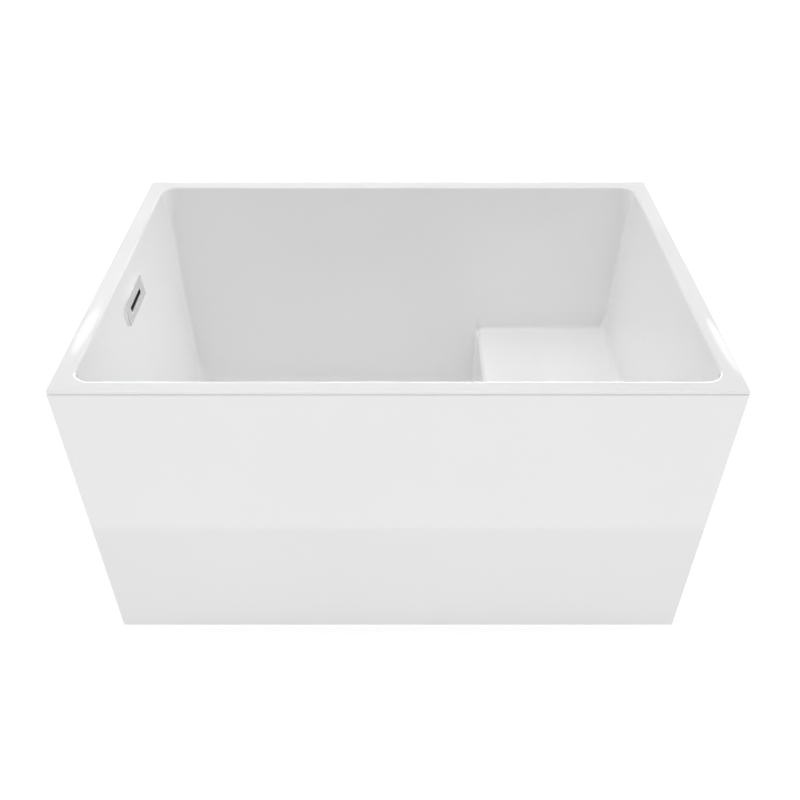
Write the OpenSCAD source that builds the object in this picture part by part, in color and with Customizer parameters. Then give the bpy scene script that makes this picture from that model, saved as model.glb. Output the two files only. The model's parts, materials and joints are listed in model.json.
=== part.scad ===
// Freestanding rectangular soaking tub with a moulded seat step, built of a thin
// inner basin and an outer skirt on a welded support frame with levelling feet.
// Millimetres, +Z up. The origin is on the floor under the middle of the tub,
// X runs along its length, and the front is -Y. The overflow is in the -X wall.

/* [Tub] */
// Overall length over the rim
tub_length = 1200; // [1150:10:1400]
// Overall width over the rim
tub_width = 800; // [720:10:900]
// Height of the rim above the floor
tub_height = 660; // [600:10:720]
// How much narrower each side of the skirt is at the floor
skirt_taper = 14; // [8:1:20]

/* [Rim] */
// Width of the flat rim along the front and back, from its outer edge to the inner wall
rim_width = 30; // [28:1:40]
// Width of the flat rim at the two ends
rim_end_width = 35; // [32:1:44]
// Thickness of the rim sheet
rim_thick = 5; // [4:0.5:7]
// Radius of the rim's outer top edge
rim_edge_r = 2.5; // [1:0.25:3.5]
// Radius of the roll from the rim into the basin
rim_roll_r = 5; // [2:0.5:6]

/* [Basin] */
// Thickness of the basin sheet
basin_wall = 5; // [4:0.5:6]
// Lean of the inner walls, in degrees
wall_lean = 1.4; // [1:0.1:2.2]
// Radius of the basin's corners in the rim and in the floor
corner_r = 32; // [31:1:40]
// Radius that the upright corners draw in to between the rim and the floor
corner_wall_r = 10; // [9:0.5:20]
// Height of the basin floor above the room's floor
basin_floor_z = 60; // [60:1:70]
// Radius between the basin floor and the walls
floor_fillet_r = 30; // [20:1:30]

/* [Seat] */
// Height of the seat above the room's floor
seat_z = 240; // [200:5:300]
// Distance from the seat's riser to the tub's right end
seat_length = 388; // [340:2:440]
// Radius of the seat's front edge
seat_edge_r = 14; // [8:1:20]
// Radius between the seat and the walls round it
seat_cove_r = 8; // [4:1:14]
// Radius between the riser and the basin floor
riser_foot_r = 25; // [10:1:30]
// Radius of the upright corners between the riser and the side walls
riser_side_r = 10; // [6:1:14]
// Height of the set-back band of wall above the seat
band_height = 55; // [30:1:80]
// Depth of the set-back band at the seat
band_depth = 4; // [2:0.25:5]
// Depth of the set-back band at its top edge
band_lip = 1; // [0.5:0.25:1.5]

/* [Skirt] */
// Thickness of the skirt sheet
skirt_wall = 4; // [3:0.5:5]
// Gap under the skirt
skirt_lift = 3; // [2:0.5:6]
// Height of the shadow gap between the rim and the skirt
shadow_gap = 4; // [2:0.5:6]
// Depth of the shadow gap
shadow_depth = 3; // [1:0.5:3.5]
// Width of the glued flange at the top of the skirt
top_flange = 14; // [8:1:16]
// Width of the turned-in flange at the bottom of the skirt
foot_flange = 24; // [12:1:28]

/* [Support frame] */
// Thickness of the board under the basin floor
floor_board_t = 9; // [6:1:9]
// Distance from the board's edges to the flat of the basin floor
board_margin = 20; // [10:1:40]
// Thickness of the board under the seat
seat_board_t = 12; // [8:1:18]
// Outer width of the square frame tubes
tube = 25; // [20:1:25]
// Wall of the frame tubes
tube_wall = 2; // [1:0.25:3]
// Distance from each side of the tub to the rail nearest to it
rail_inset = 180; // [150:5:220]
// Distance from the rail ends to the rim's ends
rail_end_gap = 62; // [55:1:90]
// Side of the square plates on the seat props
prop_plate = 70; // [40:1:90]
// Thickness of the plates on the seat props
prop_plate_t = 4; // [3:0.5:6]

/* [Levelling feet] */
// Distance from a foot to the end of its rail
foot_inset = 38; // [30:1:80]
// Radius of the foot studs
stud_r = 6; // [4:0.5:7]
// Radial clearance of the studs in their bushes and nuts
stud_gap = 0.05; // [0.02:0.01:0.1]
// Radius of the foot pads
pad_r = 24; // [16:1:30]
// Height of the foot pads
pad_h = 8; // [6:0.5:8]

/* [Waste] */
// Distance from the tub's left end to the waste
waste_inset = 200; // [180:5:240]
// Radius of the waste's flange
waste_flange_r = 35; // [34:0.5:38]
// Outer radius of the flange's threaded barrel
barrel_r = 24; // [23:0.5:26]
// Bore radius of the barrel
barrel_bore_r = 20.5; // [18:0.5:21]
// Outer radius of the outlet
outlet_r = 19; // [16:0.5:20]
// Radius of the stopper's stem
stem_r = 5; // [4:0.5:6]
// Radial clearance of the stem in its sleeve
stem_gap = 0.05; // [0.02:0.01:0.1]
// Radius of the stopper's cap
cap_r = 30; // [28:0.5:31]

/* [Overflow] */
// Distance from the rim down to the middle of the overflow cover
overflow_drop = 80; // [60:1:110]
// Length of the overflow cover
cover_length = 127; // [122:1:150]
// Height of the overflow cover
cover_height = 48; // [44:1:60]
// Thickness of the overflow cover
cover_thick = 4; // [3:0.5:6]
// Length of the slot in the cover
slot_length = 78; // [60:1:84]
// Height of the slot in the cover
slot_height = 11; // [6:0.5:14]
// Width of the flat overflow duct
duct_width = 68; // [50:1:72]
// Depth of the flat overflow duct
duct_depth = 13; // [10:0.5:13]
// Wall of the duct
duct_wall = 1.5; // [1:0.25:2]
// Middle radius of the duct's bend
duct_bend_r = 24; // [18:1:28]

/* [Hidden] */
$fn = 64;
hull_fn = 32;
cut = 1;
seat_gap = 0.3;
part_gap = 0.15;
thin = 0.01;

// Inner wall faces at a height, half the basin's length and width there
function wall_in(z) = (tub_height - z) * tan(wall_lean);
function half_x(z) = tub_length / 2 - rim_end_width - wall_in(z);
function half_y(z) = tub_width / 2 - rim_width - wall_in(z);

// Outer skirt faces at a height
function skirt_in(z) = skirt_taper * (tub_height - z) / tub_height;
function skirt_x(z) = tub_length / 2 - skirt_in(z);
function skirt_y(z) = tub_width / 2 - skirt_in(z);

// Points of an arc in steps that suit a smooth moulded edge
function arc(cx, cy, r, a0, a1, n = 6) =
    [for (i = [0:n]) let (a = a0 + (a1 - a0) * i / n) [cx + r * cos(a), cy + r * sin(a)]];

rail_y = tub_width / 2 - rail_inset;
seat_riser_x = tub_length / 2 - seat_length;
waste_at = -tub_length / 2 + waste_inset;
mouth_h = 20;
corner_top_drop = 150;
corner_foot_rise = 50;
rim_under = tub_height - rim_thick;
glue_flange_t = 6;
skirt_top = rim_under - shadow_gap;
basin_under = basin_floor_z - basin_wall;
board_z = basin_under - floor_board_t;
rail_z = board_z - tube;
rail_end = tub_length / 2 - rail_end_gap;
seat_under = seat_z - basin_wall;
seat_board_z = seat_under - seat_board_t;
floor_flat_x = half_x(basin_floor_z + floor_fillet_r) - corner_r;
floor_flat_y = half_y(basin_floor_z + floor_fillet_r) - corner_r;
board_left = -floor_flat_x + board_margin;
board_right = seat_riser_x - riser_foot_r;
board_half_y = floor_flat_y - board_margin;
seat_board_left = seat_riser_x + seat_edge_r + board_margin / 2;
seat_board_right = half_x(seat_z) - corner_r;
prop_x = (seat_board_left + seat_board_right) / 2;
band_sink = 2;
band_low = seat_z + seat_cove_r - band_sink;
band_high = seat_z + band_height;
band_reach = 10;
bar_from_waste = 120;
left_bar_x = waste_at + bar_from_waste;

// Screws between the floor board and the rails, from the board's ends
board_screw_r = 2;
board_screw_head_r = 5;
board_screw_head_h = 3;
board_screw_grip = 8;
screw_left_inset = 150;
screw_right_inset = 60;

// Caps in the rail ends
rail_cap_t = 2.5;
rail_cap_plug = 10;

// Levelling feet: each place and the height of what holds it
foot_x = rail_end - foot_inset;
feet = [[-foot_x, -rail_y], [foot_x, -rail_y], [-foot_x, rail_y], [foot_x, rail_y], [0, 0]];
nut_h = 6;
nut_r = 10.5;
stud_seat_z = 3;
collar_h = 4;
stud_inset = 2;
stud_top = rail_z + tube - stud_inset;
bush_wall = 2.5;
bush_r = stud_r + bush_wall;
pad_edge_r = 2;
pad_slope = 4;

// Waste: places along its axis
waste_recess = 3;
flange_gap = 0.5;
boss_r = waste_flange_r + 12;
board_hole_r = boss_r + 3;
board_slot_margin = 10;
boss_h = 4;
recess_z = basin_floor_z - waste_recess;
boss_z = basin_under - boss_h;
gasket_h = 3;
waste_body_top = boss_z - gasket_h;
waste_body_r = barrel_r + 6;
waste_collar_h = 4;
outlet_wall = 2.5;
outlet_len = 18;
outlet_z = 5;
waste_body_z = outlet_z + outlet_len;
socket_wall = 2;
duct_z = waste_body_z + socket_wall + duct_depth / 2;
barrel_grip = 14;
barrel_z = waste_body_top - barrel_grip;
flange_plate = 1.3;
flange_edge = 0.8;
hub_r = 9;
hub_h = 8;
hub_drop = 14;
hub_z = recess_z - hub_drop;
spoke_t = 3;
sleeve_r = 7.5;
sleeve_rise = 1;
sleeve_z = barrel_z + sleeve_rise;
sleeve_drop = 4;
sleeve_top = recess_z - sleeve_drop;
sleeve_lip_h = 2;
stem_reach = 8;
stem_z = sleeve_z - stem_reach;
seal_z = recess_z + flange_plate + seat_gap;
seal_h = 2;
seal_inset = 2.5;
seal_lap = 2;
cap_z = seal_z + seal_h;
cap_h = 3.8;
cap_edge_r = 1.2;
cap_edge_turn = 60;

// Overflow: depths behind the inner wall face, negative is outward
overflow_z = tub_height - overflow_drop;
window_margin = 6;
window_length = slot_length + 2 * window_margin;
window_height = slot_height + 2 * window_margin;
wall_back = -basin_wall;
gasket_t = 2.5;
body_wall = 2;
body_front = wall_back - gasket_t;
body_depth = duct_depth + body_wall;
body_margin = 8;
cover_lap = 2;
body_up = cover_height / 2 - cover_lap;
body_down = 44;
duct_grip = 8;
duct_mid = body_front - body_wall / 2 - duct_depth / 2;
screw_y = window_length / 2 + body_margin;
body_length = 2 * (screw_y + body_margin);
screw_hole_r = 2.2;
screw_sink_r = 4.2;
screw_sink_h = 2.2;
screw_head_r = 3.8;
screw_head_h = 1.9;
screw_shank_r = 1.6;
screw_grip = 8;
cover_chamfer = 1.5;
cover_bevel_w = 3;
neck_gap = 1;
neck_wall = 2;
neck_reach = 3;

// The duct's lower end, where its bend starts, in the overflow's own frame
bend_at = duct_mid + duct_bend_r;
bend_drop = (overflow_z - duct_z - duct_bend_r + bend_at * sin(wall_lean)) / cos(wall_lean);
duct_top = -body_down + duct_grip;
run_start = -half_x(overflow_z) + bend_at * cos(wall_lean) + bend_drop * sin(wall_lean);
duct_reach = 3;
run_end = waste_at - waste_body_r + duct_reach;
socket_length = 15;
socket_front = run_end - socket_length;

// A rounded foot for a moulded well: a disc whose lower edge is an arc
module well_foot(r, f) {
    rotate_extrude($fn = hull_fn)
        polygon(concat([[0, 0]], arc(r - f, f, f, -90, 0), [[0, f]]));
}

// Puts its children on the middle of an upright corner's arc of radius r, at the height at
module at_corner(sx, sy, at, r, z) {
    translate([sx * (half_x(at) - r), sy * (half_y(at) - r), z]) children();
}

// A moulded well with leaning walls and a rounded bottom, grown outward by grow. Its
// upright corners draw in to corner_wall_r below the rim; foot_r is their radius at the floor.
module well(low_z, fillet, foot_r, grow, top_z) {
    bend_z = low_z + fillet;
    hull() for (sx = [-1, 1], sy = [-1, 1]) {
        at_corner(sx, sy, top_z, corner_r, top_z)
            cylinder(r = corner_r + grow, h = thin, $fn = hull_fn);
        for (z = [tub_height - corner_top_drop, bend_z + corner_foot_rise])
            at_corner(sx, sy, z, corner_wall_r, z)
                cylinder(r = corner_wall_r + grow, h = thin, $fn = hull_fn);
        at_corner(sx, sy, bend_z, foot_r, low_z - grow)
            well_foot(foot_r + grow, fillet + grow);
    }
}

// The well's mouth under the rim, where its corners keep their full radius
module mouth(grow, top_z) {
    hull() for (sx = [-1, 1], sy = [-1, 1], z = [tub_height - mouth_h - cut, top_z])
        at_corner(sx, sy, z, corner_r, z)
            cylinder(r = corner_r + grow, h = thin, $fn = hull_fn);
}

// The foot well stops at the riser: a concave arc at its foot, a convex one on top
module riser_profile(grow) {
    far = -tub_length / 2;
    low = basin_floor_z - floor_fillet_r;
    foot_x0 = seat_riser_x - riser_foot_r;
    edge_x = seat_riser_x + seat_edge_r;
    high = seat_z + seat_cove_r + cut;
    polygon(concat(
        [[far, low], [foot_x0, low]],
        arc(foot_x0, basin_floor_z + riser_foot_r, riser_foot_r + grow, -90, 0),
        arc(edge_x, seat_z - seat_edge_r, seat_edge_r - grow, 180, 90),
        [[edge_x, high], [far, high]]
    ));
}

// What is left in the upright corners where the riser meets the leaning side walls
module riser_corners(grow) {
    r = riser_side_r + grow;
    for (side = [0, 1])
        mirror([0, side, 0])
            translate([seat_riser_x - riser_side_r, half_y(0) - riser_side_r / cos(wall_lean), 0])
                rotate([-wall_lean, 0, 0])
                    linear_extrude(height = seat_z + floor_fillet_r)
                        difference() {
                            square(r + cut);
                            circle(r = r - thin);
                        }
}

module foot_well(grow, top_z) {
    difference() {
        intersection() {
            well(basin_floor_z, floor_fillet_r, corner_r, grow, top_z);
            rotate([90, 0, 0])
                linear_extrude(height = tub_width, center = true)
                    riser_profile(grow);
        }
        riser_corners(grow);
    }
}

module seat_well(grow, top_z) {
    well(seat_z, seat_cove_r, corner_wall_r, grow, top_z);
}

// Takes the outer top edge off a sheet that ends at +Y and +Z, along X
module edge_cut(length, r) {
    rotate([90, 0, 90])
        linear_extrude(height = length, center = true)
            difference() {
                translate([-r, -r]) square(r + cut);
                translate([-r, -r]) circle(r = r);
            }
}

module rim_plate() {
    difference() {
        translate([-tub_length / 2, -tub_width / 2, rim_under])
            cube([tub_length, tub_width, rim_thick]);
        for (side = [0:3])
            rotate(side * 90)
                translate([0, (side % 2 == 0 ? tub_width : tub_length) / 2, tub_height])
                    edge_cut((side % 2 == 0 ? tub_length : tub_width) + 2 * cut, rim_edge_r);
    }
}

// Section of the roll from the rim into the basin, away from the opening at +X
module roll_section() {
    difference() {
        translate([-cut, -rim_roll_r]) square([rim_roll_r + cut, rim_roll_r + cut]);
        translate([rim_roll_r, -rim_roll_r]) circle(r = rim_roll_r);
    }
}

module rim_roll() {
    straight_x = half_x(tub_height) - corner_r;
    straight_y = half_y(tub_height) - corner_r;
    translate([0, 0, tub_height]) {
        for (sx = [-1, 1])
            scale_x(sx) translate([half_x(tub_height), 0, 0]) rotate([90, 0, 0])
                linear_extrude(height = 2 * straight_y, center = true) roll_section();
        for (sy = [0, 180])
            rotate(sy) translate([0, half_y(tub_height), 0]) rotate([90, 0, 90])
                linear_extrude(height = 2 * straight_x, center = true) roll_section();
        for (q = [0:3], sx = q == 0 || q == 3 ? 1 : -1, sy = q < 2 ? 1 : -1)
            translate([sx * straight_x, sy * straight_y, 0]) rotate(q * 90)
                rotate_extrude(angle = 90) translate([corner_r, 0]) roll_section();
    }
}

module scale_x(s) {
    if (s < 0) mirror([1, 0, 0]) children();
    else children();
}

// Side view of the set-back band above the seat, with one rounded top corner
module band_outline(extra) {
    left = seat_riser_x - extra;
    right = half_x(seat_z) - corner_wall_r / 2 + extra;
    low = band_low - extra;
    high = band_high + extra;
    r = seat_edge_r + extra;
    polygon(concat([[right, low], [right, high]], arc(left + r, high - r, r, 90, 180), [[left, low]]));
}

// Section across the band, from inside the basin to its depth in the wall
module band_section(top_depth, low_depth, extra) {
    low = band_low - extra;
    high = band_high + extra;
    polygon([
        [half_y(low) - band_reach, low], [half_y(low) + low_depth, low],
        [half_y(high) + top_depth, high], [half_y(high) - band_reach, high]
    ]);
}

module seat_band(top_depth, low_depth, extra) {
    for (side = [0, 1])
        mirror([0, side, 0])
            intersection() {
                rotate([90, 0, 0]) translate([0, 0, -tub_width / 2])
                    linear_extrude(height = tub_width / 2) band_outline(extra);
                rotate([90, 0, 90])
                    linear_extrude(height = tub_length / 2) band_section(top_depth, low_depth, extra);
            }
}

// A prism along X with round ends, length along Y and height along Z
module long_hole(length, height, x0, x1) {
    translate([x0, 0, 0]) rotate([90, 0, 90]) linear_extrude(height = x1 - x0) {
        square([length - height, height], center = true);
        for (s = [-1, 1]) translate([s * (length - height) / 2, 0]) circle(d = height);
    }
}

module plain_block(x0, x1, length, z0, z1) {
    translate([x0, -length / 2, z0]) cube([x1 - x0, length, z1 - z0]);
}

// Puts its children on the overflow's place in the left inner wall, X into the tub
module at_overflow() {
    translate([-half_x(overflow_z), 0, overflow_z]) rotate([0, -wall_lean, 0]) children();
}

module screw_axes() {
    for (s = [-1, 1]) translate([0, s * screw_y, 0]) children();
}

module basin() color("white") difference() {
    union() {
        rim_plate();
        mouth(basin_wall, rim_under + cut);
        seat_well(basin_wall, tub_height - mouth_h);
        foot_well(basin_wall, tub_height - mouth_h);
        translate([waste_at, 0, boss_z]) cylinder(r = boss_r, h = basin_floor_z - boss_z - cut);
        seat_band(band_lip + basin_wall, band_depth + basin_wall, basin_wall);
    }
    mouth(0, tub_height + cut);
    seat_well(0, tub_height - mouth_h);
    foot_well(0, tub_height - mouth_h);
    rim_roll();
    seat_band(band_lip, band_depth, 0);
    translate([waste_at, 0, recess_z]) cylinder(r = waste_flange_r + flange_gap, h = waste_recess + cut);
    translate([waste_at, 0, boss_z - cut])
        cylinder(r = barrel_r + flange_gap, h = basin_wall + boss_h + cut);
    at_overflow() {
        long_hole(window_length, window_height, wall_back - cut, cut);
        screw_axes() rotate([0, -90, 0]) {
            translate([0, 0, -cut]) cylinder(r = screw_hole_r, h = basin_wall + 2 * cut);
            translate([0, 0, -cut]) cylinder(r = screw_sink_r, h = screw_sink_h + cut);
        }
    }
}

// A rectangular frustum between two heights that follows the skirt, inset from it
module skirt_block(z0, z1, inset) {
    x0 = skirt_x(z0) - inset;
    y0 = skirt_y(z0) - inset;
    x1 = skirt_x(z1) - inset;
    y1 = skirt_y(z1) - inset;
    polyhedron(
        points = [
            [-x0, -y0, z0], [x0, -y0, z0], [x0, y0, z0], [-x0, y0, z0],
            [-x1, -y1, z1], [x1, -y1, z1], [x1, y1, z1], [-x1, y1, z1]
        ],
        faces = [
            [0, 1, 2, 3], [7, 6, 5, 4], [4, 5, 1, 0], [5, 6, 2, 1], [6, 7, 3, 2], [7, 4, 0, 3]
        ]
    );
}

module skirt() color("white") difference() {
    flange_z = skirt_top - glue_flange_t;
    union() {
        skirt_block(skirt_lift, skirt_top, 0);
        skirt_block(skirt_top - cut, rim_under, shadow_depth);
    }
    skirt_block(skirt_lift + skirt_wall, flange_z, skirt_wall);
    skirt_block(flange_z - cut, rim_under + cut, top_flange);
    skirt_block(skirt_lift - cut, skirt_lift + skirt_wall + cut, foot_flange);
}

module floor_board() color("burlywood") difference() {
    translate([board_left, -board_half_y, board_z])
        cube([board_right - board_left, 2 * board_half_y, floor_board_t]);
    translate([waste_at, 0, board_z - cut]) cylinder(r = board_hole_r, h = floor_board_t + 2 * cut);
    plain_block(
        board_left - cut, waste_at, duct_width + 2 * board_slot_margin, board_z - cut, basin_under + cut
    );
    for (p = screw_places())
        translate([p[0], p[1], board_z - cut]) cylinder(r = board_screw_r, h = board_screw_grip + cut);
}

module seat_board() color("burlywood")
    translate([seat_board_left, -half_y(seat_z) + corner_r, seat_board_z])
        cube([seat_board_right - seat_board_left, 2 * (half_y(seat_z) - corner_r), seat_board_t]);

function screw_places() = [
    for (x = [board_left + screw_left_inset, board_right - screw_right_inset], y = [-rail_y, rail_y])
        [x, y]
];

// A square tube along X, closed at neither end
module tube_x(x0, x1) {
    difference() {
        translate([x0, -tube / 2, rail_z]) cube([x1 - x0, tube, tube]);
        translate([x0 - cut, -tube / 2 + tube_wall, rail_z + tube_wall])
            cube([x1 - x0 + 2 * cut, tube - 2 * tube_wall, tube - 2 * tube_wall]);
    }
}

module rail(side) color("dimgray") difference() {
    translate([0, side * rail_y, 0]) tube_x(-rail_end, rail_end);
    for (f = feet) if (f[1] * side > 0)
        translate([f[0], f[1], rail_z - cut]) cylinder(r = bush_r, h = tube + 2 * cut);
    for (p = screw_places()) if (p[1] * side > 0)
        translate([p[0], p[1], rail_z - cut]) cylinder(r = board_screw_r + flange_gap, h = tube + 2 * cut);
}

module rail_front() rail(-1);
module rail_back() rail(1);

// A square tube across the tub between the rails, welded to their inner faces
module cross_bar(x) color("dimgray") difference() {
    translate([x, 0, 0]) rotate(90) tube_x(-rail_y + tube / 2, rail_y - tube / 2);
    if (x == 0) translate([0, 0, rail_z - cut]) cylinder(r = bush_r, h = tube + 2 * cut);
}

module cross_bar_left() cross_bar(left_bar_x);
module cross_bar_mid() cross_bar(0);
module cross_bar_right() cross_bar(prop_x);

// Caps with a flat head outside the rail and a plug inside it
module rail_caps() color("black")
    for (sx = [-1, 1], sy = [-1, 1])
        translate([sx * rail_end, sy * rail_y, rail_z]) scale_x(sx) {
            plug = tube - 2 * (tube_wall + part_gap);
            translate([0, -tube / 2, 0]) cube([rail_cap_t, tube, tube]);
            translate([-rail_cap_plug, -plug / 2, (tube - plug) / 2])
                cube([rail_cap_plug + cut, plug, plug]);
        }

// A square post from a rail up to the seat board, with a plate on its head
module seat_prop(side) color("dimgray") translate([prop_x, side * rail_y, 0]) {
    low = rail_z + tube;
    high = seat_board_z - prop_plate_t;
    difference() {
        translate([-tube / 2, -tube / 2, low]) cube([tube, tube, high - low]);
        translate([-tube / 2 + tube_wall, -tube / 2 + tube_wall, low - cut])
            cube([tube - 2 * tube_wall, tube - 2 * tube_wall, high - low + cut]);
    }
    translate([-prop_plate / 2, -prop_plate / 2, high]) cube([prop_plate, prop_plate, prop_plate_t]);
}

module seat_prop_front() seat_prop(-1);
module seat_prop_back() seat_prop(1);

module foot_bushes() color("silver")
    for (f = feet) translate([f[0], f[1], rail_z]) difference() {
        cylinder(r = bush_r, h = tube);
        translate([0, 0, -cut]) cylinder(r = stud_r + stud_gap, h = tube + 2 * cut);
    }

module lock_nuts() color("silver")
    for (f = feet) translate([f[0], f[1], rail_z - nut_h]) difference() {
        cylinder(r = nut_r, h = nut_h, $fn = 6);
        translate([0, 0, -cut]) cylinder(r = stud_r + stud_gap, h = nut_h + 2 * cut);
    }

module board_screws() color("silver")
    for (p = screw_places()) translate([p[0], p[1], 0]) {
        translate([0, 0, rail_z - board_screw_head_h])
            cylinder(r = board_screw_head_r, h = board_screw_head_h);
        translate([0, 0, rail_z - cut]) cylinder(r = board_screw_r, h = tube + board_screw_grip + cut);
    }

// A threaded stud with a hexagon for the spanner; it turns down out of its bush
module foot_stud(i) color("silver") translate([feet[i][0], feet[i][1], 0]) {
    translate([0, 0, stud_seat_z]) cylinder(r = stud_r, h = stud_top - stud_seat_z);
    translate([0, 0, pad_h]) cylinder(r = nut_r, h = collar_h, $fn = 6);
}

module foot_stud_front_left() foot_stud(0);
module foot_stud_front_right() foot_stud(1);
module foot_stud_back_left() foot_stud(2);
module foot_stud_back_right() foot_stud(3);
module foot_stud_mid() foot_stud(4);

// A moulded pad with a rounded lower edge and a blind socket for the stud
module foot_pad(i) color("black") translate([feet[i][0], feet[i][1], 0]) difference() {
    rotate_extrude()
        polygon(concat(
            [[0, 0]], arc(pad_r - pad_edge_r, pad_edge_r, pad_edge_r, -90, 0),
            [[pad_r - pad_slope, pad_h], [0, pad_h]]
        ));
    translate([0, 0, stud_seat_z]) cylinder(r = stud_r + part_gap, h = pad_h);
}

module foot_pad_front_left() foot_pad(0);
module foot_pad_front_right() foot_pad(1);
module foot_pad_back_left() foot_pad(2);
module foot_pad_back_right() foot_pad(3);
module foot_pad_mid() foot_pad(4);

// Flange, sloping seat and threaded barrel in one, with a spoked hub for the sleeve
module waste_flange() color("silver") translate([waste_at, 0, 0]) {
    r_out = waste_flange_r;
    edge = flange_edge;
    seat = recess_z + flange_plate;
    rotate_extrude() polygon([
        [barrel_bore_r, barrel_z], [barrel_r, barrel_z], [barrel_r, recess_z], [r_out, recess_z],
        [r_out, basin_floor_z - edge], [r_out - edge, basin_floor_z], [cap_r + edge, basin_floor_z],
        [cap_r, seat], [barrel_bore_r + flange_plate, seat], [barrel_bore_r, recess_z]
    ]);
    difference() {
        union() {
            translate([0, 0, hub_z]) cylinder(r = hub_r, h = hub_h);
            for (a = [30:60:330])
                rotate(a) translate([hub_r - cut, -spoke_t / 2, hub_z + cut])
                    cube([barrel_bore_r + 2 * cut - hub_r, spoke_t, hub_h - 2 * cut]);
        }
        translate([0, 0, hub_z - cut]) cylinder(r = sleeve_r, h = hub_h + 2 * cut);
    }
}

module waste_gasket() color("black") translate([waste_at, 0, waste_body_top]) difference() {
    cylinder(r = waste_flange_r, h = gasket_h);
    translate([0, 0, -cut]) cylinder(r = barrel_r + part_gap, h = gasket_h + 2 * cut);
}

// Body under the floor: a cup round the barrel, an outlet, and a socket for the duct
module waste_body() color("whitesmoke") difference() {
    union() {
        translate([waste_at, 0, waste_body_z])
            cylinder(r = waste_body_r, h = waste_body_top - waste_body_z);
        translate([waste_at, 0, waste_body_top - waste_collar_h])
            cylinder(r = waste_flange_r, h = waste_collar_h);
        translate([waste_at, 0, outlet_z]) cylinder(r = outlet_r, h = outlet_len + cut);
        plain_block(
            socket_front, waste_at, duct_width + 2 * socket_wall,
            waste_body_z, duct_z + duct_depth / 2 + socket_wall
        );
    }
    translate([waste_at, 0, barrel_z - seat_gap])
        cylinder(r = barrel_r + part_gap, h = waste_body_top - barrel_z + seat_gap + cut);
    translate([waste_at, 0, waste_body_z + socket_wall])
        cylinder(r = barrel_r - socket_wall, h = barrel_z - waste_body_z);
    translate([waste_at, 0, outlet_z - cut])
        cylinder(r = outlet_r - outlet_wall, h = outlet_len + socket_wall + 2 * cut);
    plain_block(
        socket_front - cut, run_end, duct_width + 2 * part_gap,
        duct_z - duct_depth / 2 - part_gap, duct_z + duct_depth / 2 + part_gap
    );
    plain_block(
        run_end - cut, waste_at, waste_body_r,
        duct_z - duct_depth / 2 + duct_wall, duct_z + duct_depth / 2 - duct_wall
    );
}

// The stopper: a low dome, a rubber ring under it and the stem that guides it
module stopper_cap() color("silver") translate([waste_at, 0, cap_z]) {
    edge_x = cap_r - cap_edge_r;
    dome_half = edge_x + cap_edge_r * cos(cap_edge_turn);
    dome_rise = cap_h - cap_edge_r - cap_edge_r * sin(cap_edge_turn);
    dome_r = (pow(dome_half, 2) + pow(dome_rise, 2)) / (2 * dome_rise);
    rotate_extrude() polygon(concat(
        [[0, 0]],
        arc(edge_x, cap_edge_r, cap_edge_r, -90, cap_edge_turn),
        arc(0, cap_h - dome_r, dome_r, acos(dome_half / dome_r), 90)
    ));
}

module stopper_seal() color("black") translate([waste_at, 0, seal_z]) difference() {
    cylinder(r = cap_r - seal_inset, h = cap_z - seal_z);
    translate([0, 0, -cut]) cylinder(r = barrel_bore_r + seal_lap, h = cap_z - seal_z + 2 * cut);
}

module stopper_stem() color("silver") translate([waste_at, 0, stem_z])
    cylinder(r = stem_r, h = cap_z - stem_z);

module stopper_sleeve() color("gold") translate([waste_at, 0, sleeve_z]) difference() {
    union() {
        cylinder(r = sleeve_r, h = sleeve_top - sleeve_z);
        translate([0, 0, sleeve_top - sleeve_lip_h - sleeve_z]) cylinder(r = hub_r, h = sleeve_lip_h);
    }
    translate([0, 0, -cut]) cylinder(r = stem_r + stem_gap, h = recess_z);
}

// Flat cover with chamfered edges, a slot, and a neck that reaches through the wall
module overflow_cover() color("silver") at_overflow() difference() {
    union() {
        hull() {
            half = cover_height / 2;
            plain_block(part_gap, cover_thick - cover_chamfer, cover_length, -half, half);
            plain_block(
                part_gap, cover_thick, cover_length - 2 * cover_bevel_w,
                -half + cover_bevel_w, half - cover_bevel_w
            );
        }
        long_hole(
            slot_length + 2 * (neck_wall + neck_gap), slot_height + 2 * (neck_wall + neck_gap),
            body_front - neck_reach, cut
        );
    }
    plain_block(-cut, cover_thick + cut, slot_length, -slot_height / 2, slot_height / 2);
    long_hole(slot_length + 2 * neck_gap, slot_height + 2 * neck_gap, body_front - neck_reach - cut, 0);
}

module overflow_gasket() color("black") at_overflow() difference() {
    plain_block(body_front, wall_back, body_length, -body_up, body_up);
    long_hole(window_length, window_height, body_front - cut, wall_back + cut);
    screw_axes() rotate([0, -90, 0])
        translate([0, 0, -wall_back - cut]) cylinder(r = screw_hole_r, h = gasket_t + 2 * cut);
}

// Flat box behind the wall, open to the window in front and to the duct below
module overflow_body() color("whitesmoke") at_overflow() difference() {
    plain_block(body_front - body_depth, body_front, body_length, -body_down, body_up);
    long_hole(window_length, window_height, body_front - body_wall - cut, body_front + cut);
    plain_block(
        body_front - body_depth + body_wall, body_front - body_wall,
        window_length, -body_down + duct_grip + body_wall, window_height / 2
    );
    plain_block(
        duct_mid - duct_depth / 2 - part_gap, duct_mid + duct_depth / 2 + part_gap,
        duct_width + 2 * part_gap, -body_down - cut, duct_top
    );
    plain_block(
        duct_mid - duct_depth / 2 + duct_wall, duct_mid + duct_depth / 2 - duct_wall,
        duct_width - 2 * duct_wall, duct_top - cut, duct_top + body_wall + cut
    );
    screw_axes() rotate([0, -90, 0])
        translate([0, 0, -body_front - cut]) cylinder(r = screw_shank_r, h = screw_grip + 2 * cut);
}

module overflow_screws() color("silver") at_overflow() screw_axes() rotate([0, -90, 0]) {
    translate([0, 0, seat_gap]) cylinder(r = screw_head_r, h = screw_head_h);
    translate([0, 0, seat_gap + cut])
        cylinder(r = screw_shank_r, h = -body_front + screw_grip - seat_gap - cut);
}

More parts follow.
